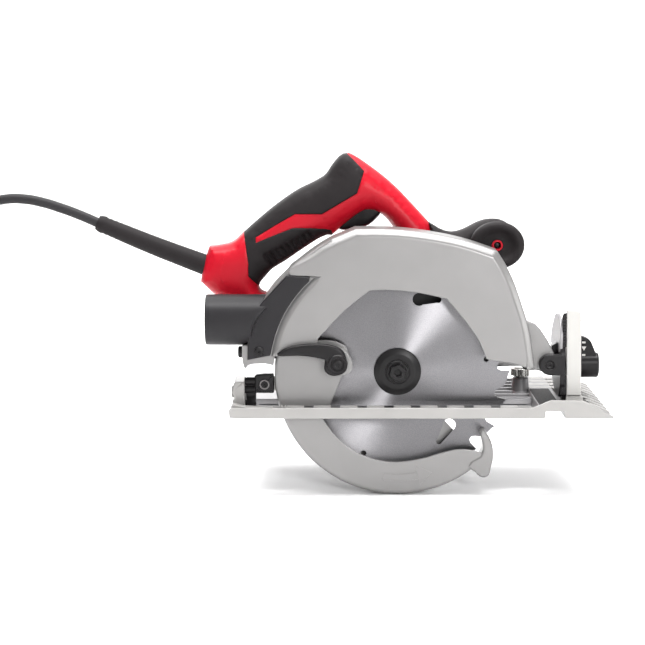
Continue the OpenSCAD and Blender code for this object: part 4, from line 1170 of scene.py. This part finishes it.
def add_shoe_noses(bm):
    """Ribs whose noses step down to the front edge."""
    for k in range(9):
        y = -14 + 17 * k
        whole = y > 64
        nose = [(115 if whole else 160.5, 0.6), (119 if whole else 160.5, 9.6),
                (158 if whole else 162, 9.6),
                (168, 7.2), (178.4, 3), (179.4, 0.4)]
        add_prism(bm, soften(nose, [0, 1.5, 3, 2, 1, 0]), y, y + 8, 1.4, 3)


def add_shoe_ribs(bm):
    """Stiffening ribs on the sheet's far part, with the rails round it."""
    for k in range(6):
        y = 37 + 17 * k
        add_prism(bm, soften([(-60, 2), (-57, 6.5), (119, 6.5), (119, 2)], [0, 1.5, 0, 0]), y, y + 2.6, 0.6)
    for x0, x1 in ((-141, -42), (42, 117)):
        add_prism(bm, rectangle(x0, x1, 1, 7, 1.2), 25, 27.6, 0.6)
    add_prism(bm, soften([(SHOE_REAR, 0.1), (SHOE_REAR + 1, 7.2), (119, 7.2), (119, 0.1)], [0, 2, 0, 0]),
              134.8, SHOE_FAR, 0.6)
    for k in range(5):
        x = -128 + 38 * k
        along(ALONG_X, add_prism, bm, soften([(28, 1), (30, 6), (136, 6), (136, 1)], [0, 1, 0, 0]), x,
              x + 2.6, 0.6)
    along(ALONG_Z, add_lathe, bm, [(3.3, 1), (9.4, 1), (9.0, 4), (7.6, 6), (7.2, 17.2), (6.6, 18),
                                   (3.3, 18), (3.3, 1)],
          (112, 75), 40)


def add_rear_post(bm):
    """Upright at the back that carries the rear bevel pin."""
    side = [(-141.2, 5), (-137.5, 14), (-139.6, 18.5), (-139.4, 23), (-137.6, 28), (-129.3, 28), (-129, 5)]
    add_prism(bm, soften(side, [0, 2, 1.5, 2, 2.5, 0.8, 0]), -12, 24, 1.2, 4)
    add_prism(bm, soften([(-141, 2), (-139.5, 12), (-129, 9.5), (-105, 8.8), (-105, 2)], [0, 2, 3, 0, 0]),
              -29, -20.9, 0.5)
    along(ALONG_X, add_lathe, bm, [(0, -141), (4.6, -141), (5.2, -140.4), (5.2, -138)], (6, 16.5), 24)


def make_shoe():
    bm = bmesh.new()
    add_near_rail(bm)
    add_rear_post(bm)
    add_shoe_noses(bm)
    place(piece_from("shoe_rails", bm, 32), "shoe", "shoe_metal", ("shoe_plate",))
    # The sheet, its ribs and the fence screw's boss take the darker gear-case finish while the rails keep
    # the lighter shoe finish: painted shade on what is one casting, darkening the shoe's top.
    bm = bmesh.new()
    add_shoe_sheet(bm)
    add_shoe_ribs(bm)
    place(piece_from("shoe_casting", bm, 32), "shoe", "cast_gear")
    # Dark inserts just behind the rail's top, between its bridges: painted shade standing for the shadowed
    # channel under the rail.
    bm = bmesh.new()
    for k in range(8):
        x = -75 + RAIL_PITCH * k
        add_prism(bm, rectangle(x - 4, x + 4, 8.6, 9.5), -29.6, -22.8, 0.2, 2)
    place(piece_from("shoe_painted_shade_dashes", bm, 32), "shoe", "black_steel")
    # Dark strip over the fence channel's top in the rubber finish: painted shade for the shoe's top lying in
    # shadow, not a grip.
    bm = bmesh.new()
    along(ALONG_Z, add_prism, bm, rectangle(119, 136, -28.5, 64, 1), 8.4, 9.6, 0.3)
    place(piece_from("shoe_painted_shade_strip", bm, 32), "shoe", "grip_rubber")


def make_fence_screw():
    """Thumb screw with a knurled disc that clamps the parallel fence."""
    bm = bmesh.new()
    knurl = [polar(8.5 - 0.45 * (k % 2), 7.5 * k, (112, 75)) for k in range(48)]
    along(ALONG_Z, add_prism, bm, knurl, 19.6, 26.2, 0.7)
    profile = [(0, 4), (2.95, 4), (2.95, 18.4), (4.8, 18.6), (4.8, 20), (4.8, 26), (5.4, 26.2), (5.6, 26.9),
               (0, 27)]
    along(ALONG_Z, add_lathe, bm, profile, (112, 75), 36)
    place(piece_from("fence_thumb_screw", bm, 34), "fence_screw", "zinc_steel", ("fence_screw",))


# ---- Bevel quadrant and depth carrier ----

BEVEL_Z = 8
LOCK_R, LOCK_ANGLE = 50, 56
LOCK_Y = LOCK_R * math.sin(math.radians(LOCK_ANGLE))
LOCK_Z = BEVEL_Z + LOCK_R * math.cos(math.radians(LOCK_ANGLE))
LOCK_AT = (LOCK_Y, LOCK_Z)
AXIS_AT = (0, BEVEL_Z)


def bevel_arc(radius, start, end, count=20):
    return arc(radius, 90 - start, 90 - end, count, AXIS_AT)


def make_quadrant():
    """Painted upright sector with a curved slot, a thick near edge and engraved scale ticks."""
    bm = bmesh.new()
    outline = [(-10.5, 3), (62, 3)] + bevel_arc(78, 52, -6, 24) + [(-10.5, 84)]
    slot = bevel_arc(LOCK_R + 4.2, LOCK_ANGLE - 45,
                     LOCK_ANGLE) + [polar(4.2, 90 - LOCK_ANGLE - 30 * k, LOCK_AT) for k in range(1, 6)]
    slot += bevel_arc(LOCK_R - 4.2, LOCK_ANGLE, LOCK_ANGLE - 45)
    other = polar(LOCK_R, 90 - LOCK_ANGLE + 45, AXIS_AT)
    slot += [polar(4.2, 90 - LOCK_ANGLE + 45 + 180 - 30 * k, other) for k in range(1, 6)]
    pin = [polar(2.9, 20 * k, AXIS_AT) for k in range(18)]
    along(ALONG_X, add_panel, bm, outline, [slot, pin], 145, 150, 0.8)
    edge = soften([(142.4, 15), (141.6, 89), (153.8, 89), (154.6, 15.2)], [0.5, 2.5, 7, 0.5], 5)
    add_prism(bm, edge, -11, -5, 1.3, 4)
    add_prism(bm, soften([(141.6, 3.2), (142.2, 15.5), (156.2, 15.5), (157.2, 3.2)], [0, 1, 1, 0]), -10.4,
              -4.6, 0.6)
    for k in range(10):
        a = LOCK_ANGLE - 5 * k
        lines = [polar(r, 90 - a + w, AXIS_AT) for r,
                 w in ((64, -0.3), (70 if k % 3 else 73, -0.3), (70 if k % 3 else 73, 0.3), (64, 0.3))]
        along(ALONG_X, add_prism, bm, lines, 149.8, 150.35, 0.08, 1)
    place(piece_from("bevel_sector", bm, 34), "shoe", "quadrant_paint", ("bevel_quadrant",))


def add_carrier_forks(bm):
    x0 = PIVOT_X
    fork = [(139.5, PIVOT_Z - 8.8)] + [(139.5, PIVOT_Z + 8.8)] + arc(8.8, 90, 270, 20, (x0, PIVOT_Z))
    hole = [polar(3.5, 20 * k, (x0, PIVOT_Z)) for k in range(18)]
    add_panel(bm, fork, [hole], -12, -4, 1.0, 3)
    add_panel(bm, fork, [hole], 16, 24, 1.0, 3)


def make_carrier():
    """Black bracket: two forks round the depth pivot, a wall behind the quadrant and a toothed edge."""
    bm = bmesh.new()
    add_carrier_forks(bm)
    wall = soften([(-11.5, 24), (-11.5, 52), (-8, 58), (48, 58), (57, 50), (57, 26), (30, 15), (2.5, 12.4),
                   (-2.5, 14)], 3)
    lock = [polar(4.1, 20 * k, LOCK_AT) for k in range(18)]
    along(ALONG_X, add_panel, bm, wall, [lock], 136.6, 141, 0.8)
    along(ALONG_X, add_prism, bm, soften([(-4.4, 8), (-9.5, 29), (15, 29), (9.5, 14), (4.4, 8)], 1.5),
          139.2, 142.2, 0.4)
    along(ALONG_X, add_lathe, bm, [(0, 139.2), (4.6, 139.2), (4.6, 142), (4.2, 142.3), (0, 142.3)], AXIS_AT,
          32)
    add_prism(bm, rectangle(137.2, 142.2, 16, 33, 0.5), -10.5, -7.5, 0.5)
    add_prism(bm, soften([(131, 50), (131, 56), (135, 58.5), (142.2, 58.5), (142.2, 50)], 1.2), 5, 14, 0.8)
    strip = soften([(138.6, 57), (138.2, 83), (139.4, 85.6), (142, 85.6), (142.3, 57)], [0, 1, 0.6, 0.6, 0])
    add_prism(bm, strip, -9.6, -6.5, 0.4)
    for k in range(9):
        z = 60.5 + 2.6 * k
        add_prism(bm, rectangle(139.2, 141.8, z, z + 1.4, 0.2), -10.3, -9.2, 0.25, 2)
    place(piece_from("carrier_bracket", bm, 34), "carrier", "black_steel", ("front_carrier",))
    bm = bmesh.new()
    scale = smooth([(-9, 52), (-9.5, 70), (-2, 78.5), (12, 82.5), (28, 80.5), (44, 71), (57, 56), (57, 52)],
                   (0, 7), step=3)
    along(ALONG_X, add_prism, bm, scale, 136.4, 138.8, 0.5)
    lip = soften([(135.8, 54), (136.6, 68), (138.2, 82), (139.6, 84), (139.6, 54)], [0.5, 8, 2, 1, 0])
    add_prism(bm, lip, -6.6, -5.2, 0.3)
    place(piece_from("angle_scale", bm, 34), "carrier", "cast_gear")


def add_recessed_screw(bm, centre, radius, y0, deep, y1):
    """Countersunk socket screw whose face lies at y0, with its shank on to y1."""
    socket = radius * 0.5
    profile = [(socket, y0 + 0.1), (radius * 0.9, y0), (radius, y0 + 0.3), (radius, y1), (0, y1)]
    add_lathe(bm, profile, centre, 36)
    ring = [polar(socket, 10 * k, centre) for k in range(36)]
    star = [polar(socket * (0.9 if k % 2 else 0.72), 30 * k, centre) for k in range(12)]
    lip = [bm.verts.new((x, y0 + 0.1, z)) for x, z in ring]
    mouth = [bm.verts.new((x, y0 + 0.3, z)) for x, z in star]
    floor = [bm.verts.new((x, y0 + deep, z)) for x, z in star]
    for i in range(12):
        k = (i + 1) % 12
        bm.faces.new((mouth[i], mouth[k], floor[k], floor[i]))
        bm.faces.new([mouth[i]] + [lip[j % 36] for j in range(3 * i, 3 * i + 4)] + [mouth[k]])
    bm.faces.new(floor)


def make_carrier_fixings():
    bm = bmesh.new()
    add_recessed_screw(bm, (PIVOT_X, PIVOT_Z), 3.4, -10.8, 2.2, 25)
    add_recessed_screw(bm, (-112.5, 25), 2.9, -9.2, 1.6, 10)
    along(ALONG_X, add_lathe, bm, [(0, 139.6), (2.5, 139.6), (2.5, 155.2), (1.9, 156), (0, 156)], AXIS_AT,
          24)
    along(ALONG_X, add_lathe, bm, [(0, -139.8), (1.9, -139.8), (2.5, -139.2), (2.5, -122), (0, -122)],
          AXIS_AT, 24)
    along(ALONG_X, add_lathe, bm, [(0, 136.5), (3.9, 136.5), (3.9, 158), (0, 158)], LOCK_AT, 24)
    along(ALONG_X, add_lathe, bm, [(0, 150.4), (8.6, 150.4), (8.6, 151.8), (8.2, 152.2), (3.9, 152.2)],
          LOCK_AT, 32)
    for z in (20.5, 27.5):
        along(ALONG_X, add_lathe, bm, [(0, -129.4), (3.2, -129.4), (3.4, -128.9), (3.4, -120.5)], (-6, z),
              20)
    place(piece_from("carrier_fixings", bm, 34), "carrier", "black_steel", ("carrier_screws",))
    bm = bmesh.new()
    ring = [(3.0, -8.2), (3.0, -9.4), (3.3, -9.75), (3.9, -9.75), (4.2, -9.4), (4.2, -8.2), (3.0, -8.2)]
    add_lathe(bm, ring, (-112.5, 25), 36)
    place(piece_from("rear_block_washer", bm, 34), "carrier", "lamination")


def make_rear_block():
    """Clamp block between the depth arm and the rear pin, with a cast back wall."""
    bm = bmesh.new()
    side = soften([(-121, 17.5), (-121, 33), (-113, 34), (-104.6, 34), (-104.6, 17.5)], [1, 2.5, 1, 1, 1])
    add_prism(bm, side, -8, 0, 1.4, 4)
    add_prism(bm, rectangle(-120.6, -105, 18, 29.5, 1), -2, 20, 0.8)
    ear = soften([(-4.4, 8), (-6.8, 14), (-6.8, 29.5), (9.8, 29.5), (9.8, 14), (4.4, 8)], 1.5)
    along(ALONG_X, add_prism, bm, ear, -128, -120, 0.8)
    along(ALONG_X, add_lathe, bm, [(0, -128), (4.2, -128), (4.6, -127.6), (4.6, -120)], AXIS_AT, 28)
    place(piece_from("rear_clamp_block", bm, 34), "carrier", "black_steel", ("rear_block",))


def make_bevel_lock():
    """Lever of the bevel lock: a barrel over the bolt and a wedge to push, with plain moulded marks."""
    bm = bmesh.new()
    barrel = arc(9.2, 0, 180, 20, LOCK_AT) + arc(9.2, 180, 360, 20, (LOCK_Y, LOCK_Z - 3.4))
    along(ALONG_X, add_prism, bm, barrel, 157.4, 176, 1.6, 4)
    add_prism(bm, soften([(157.4, LOCK_Z), (157.4, LOCK_Z + 23.6), (160.5, LOCK_Z + 24),
                          (168, LOCK_Z + 21.5),
                          (173.8, LOCK_Z + 8), (175, LOCK_Z)], [0, 1.5, 3, 4, 4, 0], 5), LOCK_Y - 6.5,
                          LOCK_Y + 6.5, 1.6, 4)
    place(piece_from("bevel_lock_lever", bm, 34), "bevel_lock", "black_plastic", ("bevel_lock",))
    bm = bmesh.new()
    x, z = 162.6, LOCK_Z + 13.4
    y0, y1 = LOCK_Y - 6.62, LOCK_Y - 6.3
    add_prism(bm, [(x - 2, z + 1.8), (x + 2, z + 1.8), (x, z - 1.8)], y0, y1, 0.05, 1)
    for rise in (5.4, -5.6):
        add_prism(bm, rectangle(x - 1.7, x + 1.3, z + rise - 0.8, z + rise + 0.8, 0.4), y0, y1, 0.05, 1)
    place(piece_from("bevel_lock_marks", bm, 34), "bevel_lock", "quadrant_paint")


DEPTH_ARM_R, BOLT_ANGLE, DEPTH_TRAVEL = 206, 179, 25
BOLT_AT = polar(DEPTH_ARM_R, BOLT_ANGLE, (PIVOT_X, PIVOT_Z))


def make_depth_arm():
    """Slotted link on the far side that fixes the depth, with its foot at the rear block."""
    top = BOLT_ANGLE - DEPTH_TRAVEL
    pivot = (PIVOT_X, PIVOT_Z)
    high = polar(DEPTH_ARM_R, top, pivot)
    bm = bmesh.new()
    outline = arc(DEPTH_ARM_R + 9.7, BOLT_ANGLE + 1.5, top, 16,
                  pivot) + [polar(9.7, top - 20 * k, high) for k in range(1, 9)]
    outline += arc(DEPTH_ARM_R - 9.7, top, BOLT_ANGLE + 1.5, 16, pivot)
    slot = arc(DEPTH_ARM_R + 4.2, BOLT_ANGLE, top, 20,
               pivot) + [polar(4.2, top - 30 * k, high) for k in range(1, 6)]
    slot += arc(DEPTH_ARM_R - 4.2, top, BOLT_ANGLE, 20, pivot)
    slot += [polar(4.2, BOLT_ANGLE + 180 - 30 * k, BOLT_AT) for k in range(1, 6)]
    add_panel(bm, outline, [slot], 20, 24, 0.5)
    foot = soften([(-120, 15), (-120, 27), (-104, 27), (-90, 39.5), (-72, 36), (-67, 29), (-72, 19),
                   (-90, 15)],
                  [1, 1, 4, 4, 4, 3, 4, 4])
    add_prism(bm, foot, 20.2, 23.8, 0.5)
    for k in range(9):
        a = top + 2 + 2.6 * k
        tick = [polar(r, a + w, pivot) for r, w in ((DEPTH_ARM_R + 5.6, -0.1), (DEPTH_ARM_R + 8.6, -0.1),
                                                    (DEPTH_ARM_R + 8.6, 0.1), (DEPTH_ARM_R + 5.6, 0.1))]
        add_prism(bm, tick, 23.8, 24.15, 0.05, 1)
    place(piece_from("depth_link", bm, 34), "carrier", "zinc_steel", ("depth_arm",))


def make_depth_lever():
    """Clamping lever of the depth setting."""
    x, z = BOLT_AT
    line = smooth([(x - 6, z + 5), (x - 20, z + 11), (x - 34, z + 15.5), (x - 37.6, z + 13),
                   (x - 37, z + 9.5), (x - 33, z + 6.5),
                   (x - 18, z - 0.5), (x - 4, z - 7), (x + 4, z - 3)], step=2.5)
    body = relief_body("depth_lever_blade", line, 34, 3, 4, 2.6, 2.4)
    place(body, "depth_lever", "black_plastic", ("depth_lever",))
    bm = bmesh.new()
    add_lathe(bm, [(3.2, 28), (8.6, 28), (9, 28.5), (9, 37), (8.2, 38.4), (6, 39), (3.6, 39), (3.2, 38.4),
                   (3.2, 28)], BOLT_AT, 40)
    place(piece_from("depth_lever_hub", bm, 34), "depth_lever", "black_plastic")
    bm = bmesh.new()
    add_lathe(bm, [(0, 12), (3, 12), (3, 16), (3.9, 16), (3.9, 26), (3, 26), (3, 38.6), (2.4, 39.8),
                   (0, 40)], BOLT_AT, 32)
    place(piece_from("depth_clamp_bolt", bm, 34), "head", "zinc_steel", ("depth_bolt",))


make_shoe()
make_fence_screw()
make_quadrant()
make_carrier()
make_carrier_fixings()
make_rear_block()
make_bevel_lock()
make_depth_arm()
make_depth_lever()


# ---- Gear case and motor ----

MOTOR_AT = (MOTOR_X, MOTOR_Z)
CASE_R, MOTOR_R = 31, 46
LOCK_TUBE_AT = (28, ARBOR_Z)
BRUSH_AT = (129, MOTOR_Z)
TRIGGER_PIN_AT = (-21, 171)


def case_outline(grow=0.0):
    """Outline round the spindle boss and the motor flange: two arcs joined by their tangents."""
    gap = Vector(MOTOR_AT) - Vector((0, ARBOR_Z))
    line = math.degrees(math.atan2(gap.y, gap.x))
    lean = math.degrees(math.acos((CASE_R - MOTOR_R) / gap.length))
    return (arc(MOTOR_R + grow, line - lean, line + lean, 60, MOTOR_AT)
            + arc(CASE_R + grow, line + lean, line - lean + 360, 30))


def make_gear_case():
    """Cast housing with a rolled flange, cooling ribs and the spindle's nose."""
    bm = bmesh.new()
    add_prism(bm, case_outline(), 16, 50, 2.2, 4)
    for y in (22, 28, 34):
        add_prism(bm, case_outline(-0.9), y - 4.2, y - 2.2, 0.6, 2)
    add_lathe(bm, [(9.6, 6.5), (10, 6), (24.6, 6), (25.5, 6.9), (25.5, 17), (9.6, 17), (9.6, 6.5)],
              (0, ARBOR_Z), 72)
    along(ALONG_X, add_lathe, bm, [(5.1, 24), (9.8, 24), (9.8, 37.2), (9.2, 38), (8.2, 38), (7.9, 37.6),
                               (7.9, 34.5), (5.1, 34.5), (5.1, 24)], LOCK_TUBE_AT, 40)
    place(piece_from("gear_case_casting", bm, 34), "head", "cast_gear", ("gear_case",))
    bm = bmesh.new()
    profile = [(0, 33.2), (4.9, 33.2), (4.9, 40), (7.1, 40.1), (7.5, 40.6), (7.5, 43.6), (7.0, 44.6),
               (5.4, 45), (0, 45)]
    along(ALONG_X, add_lathe, bm, profile, LOCK_TUBE_AT, 36)
    place(piece_from("spindle_lock_cap", bm, 34), "spindle_lock_button", "black_plastic",
          ("spindle_lock_button",))


def motor_dent(y, a):
    """Depth of the housing's air slots and grip flutes at y and at angle a, in millimetres."""
    intake = 2.6 if 57 <= y <= 70 and (a / 15) % 1 < 0.34 else 0
    flute = 0.9 if 78 <= y <= 114 and (a / 10) % 1 < 0.4 and (20 < a < 160 or 200 < a < 340) else 0
    return max(intake, flute)


def make_motor_housing():
    """Round motor shell with air slots all round, shallow flutes and two brush bosses."""
    bm = bmesh.new()
    rows = [(42.5, 50), (45.6, 50), (46, 50.6), (46, 53.5), (45.2, 54), (45.2, 55), (45.6, 56), (45.6, 57),
            (45.6, 57.4),
            (45.6, 69.6), (45.6, 70.2), (45.6, 77.6), (45.6, 78.4), (45.4, 96), (45.4, 113.6),
            (45.6, 114.4), (45.6, 140),
            (45.8, 144), (45.9, 150.6), (45.4, 152), (42.5, 152)]
    count = 216
    rings = []
    for r, y in rows:
        ring = []
        for k in range(count):
            a = 360 * k / count
            x, z = polar(r - (motor_dent(y, a) if r > 45 else 0), a, MOTOR_AT)
            ring.append((x, y, z))
        rings.append(ring)
    lines = loft(bm, rings)
    for i in range(count):
        k = (i + 1) % count
        bm.faces.new((lines[-1][i], lines[-1][k], lines[0][k], lines[0][i]))
    for side in (-1, 1):
        ends = [MOTOR_X + side * r for r in (40, 51, 52, 52, 46)]
        boss = list(zip((9, 9, 8.2, 6.6, 6.4), ends))
        along(ALONG_X, add_lathe, bm, boss, BRUSH_AT, 36)
    place(piece_from("motor_shell", bm, 30), "head", "red_plastic", ("motor_housing",))


def make_brush_caps():
    """Screw caps over the brushes."""
    bm = bmesh.new()
    for side in (-1, 1):
        face = MOTOR_X + side * 51.4
        back = MOTOR_X + side * 46
        along(ALONG_X, add_lathe, bm, [(0, back), (6.3, back), (6.3, face - side * 0.5), (5.8, face),
                                       (0, face)], BRUSH_AT, 32)
    place(piece_from("brush_caps", bm, 34), "head", "black_plastic")


def make_end_cap():
    """Domed end of the motor with a vent grille and a stepped rim."""
    bm = bmesh.new()
    rim = [(43, 152.1), (45.6, 152.1), (46, 152.6), (46, 157.4), (45.2, 159.4), (43.6, 162.2),
           (41.6, 164.8), (38.5, 166.4),
           (34, 167.4), (31.5, 167.8), (31.5, 164), (39, 161), (43, 156), (43, 152.1)]
    add_lathe(bm, rim, MOTOR_AT, 96)
    holes = []
    for k in range(-3, 4):
        x = MOTOR_X + 8 * k
        half = min(20, math.sqrt(max(0, 26.5**2 - (8 * abs(k) + 2)**2)))
        holes.append(rectangle(x - 2, x + 2, MOTOR_Z - half, MOTOR_Z + half, 1.8))
    face = [polar(32, 3.75 * k, MOTOR_AT) for k in range(96)]
    add_panel(bm, face, holes, 164.6, 167.9, 0.5)
    add_lathe(bm, [(0, 160.4), (40, 160.4), (40, 159.6), (0, 159.6)], MOTOR_AT, 64)
    place(piece_from("motor_end_shell", bm, 32), "head", "black_plastic", ("motor_end_cap",))
    bm = bmesh.new()
    for k in range(4):
        centre = polar(36.4, 45 + 90 * k, MOTOR_AT)
        add_socket_screw(bm, centre, 3.0, 168.8, 166, 2, 158)
    place(piece_from("motor_fixings", bm, 34), "head", "black_steel", ("motor_screws",))


# ---- Blade clamp ----

def make_blade_clamp():
    """Black outer flange and the hexagon bolt that holds the blade."""
    bm = bmesh.new()
    flange = [(4.1, -0.85), (19.6, -0.85), (20, -1.1), (20, -1.9), (19.4, -2.4), (15.4, -3.4), (14.6, -3.6),
              (10.6, -3.6),
              (10.2, -3.3), (9.8, -3.3), (4.1, -3.3), (4.1, -0.85)]
    add_lathe(bm, flange, (0, ARBOR_Z), 96)
    place(piece_from("outer_flange_disc", bm, 30), "blade", "black_steel", ("outer_flange",))
    bm = bmesh.new()
    centre = (0, ARBOR_Z)
    add_lathe(bm, [(3.2, -4.8), (8.9, -4.8), (9.5, -4.3), (9.5, -3.2), (3.2, -3.2), (3.2, -4.8)], centre,
              48)
    rings = []
    for r, y in ((7.6, -4.6), (7.6, -9.8), (7.1, -10.7), (4.6, -10.9), (3.6, -10.6), (3.3, -10.3),
                 (3.3, -6.4)):
        rings.append([(x, y, z) for x, z in (polar(r, 60 * k + 18, centre) for k in range(6))])
    lines = loft(bm, rings)
    bm.faces.new(lines[-1])
    bm.faces.new(lines[0])
    add_lathe(bm, [(0, -3), (4.1, -3), (4.1, 8.6), (3.6, 9), (0, 9)], centre, 32)
    place(piece_from("blade_bolt_head", bm, 30), "blade", "black_steel", ("blade_bolt",))


def make_painted_shade_liner():
    """Dark plate inside the fixed guard: painted shade that darkens the guard's lit interior where it shows
    through the window and the slot.
    """
    bm = bmesh.new()
    outline = arc(105.5, 12, 172, 60) + arc(34, 165, 15, 30)
    add_prism(bm, outline, 12.1, 13.5, 0.3, 1)
    place(piece_from("painted_shade_liner", bm, 34), "head", "black_steel")


def make_trigger_pivot():
    bm = bmesh.new()
    add_lathe(bm, [(0, 41), (1.7, 41), (2, 41.4), (2, 48.6), (1.7, 49), (0, 49)], TRIGGER_PIN_AT, 20)
    place(piece_from("trigger_pivot", bm, 34), "head", "zinc_steel", ("trigger_pin",))
    bm = bmesh.new()
    add_lathe(bm, [(1.6, 42), (2.6, 42), (2.6, 44), (1.6, 44), (1.6, 42)], TRIGGER_PIN_AT, 24)
    place(piece_from("trigger_return", bm, 34), "head", "zinc_steel", ("trigger_spring",))


make_gear_case()
make_motor_housing()
make_brush_caps()
make_end_cap()
make_blade_clamp()
make_painted_shade_liner()
make_trigger_pivot()


# ---- CAD parts that stay ----

def dress_cad_parts():
    """Gives every CAD node that still shows its procedural finish."""
    finish_of = {part["node"]: part["material_slot"] for part in frame["record"]["subparts"]}
    for name, node in frame["nodes"].items():
        if node.hide_render:
            continue
        node.data.materials.clear()
        node.data.materials.append(MATERIALS[finish_of[name]])
        for polygon in node.data.polygons:
            polygon.material_index = 0


dress_cad_parts()
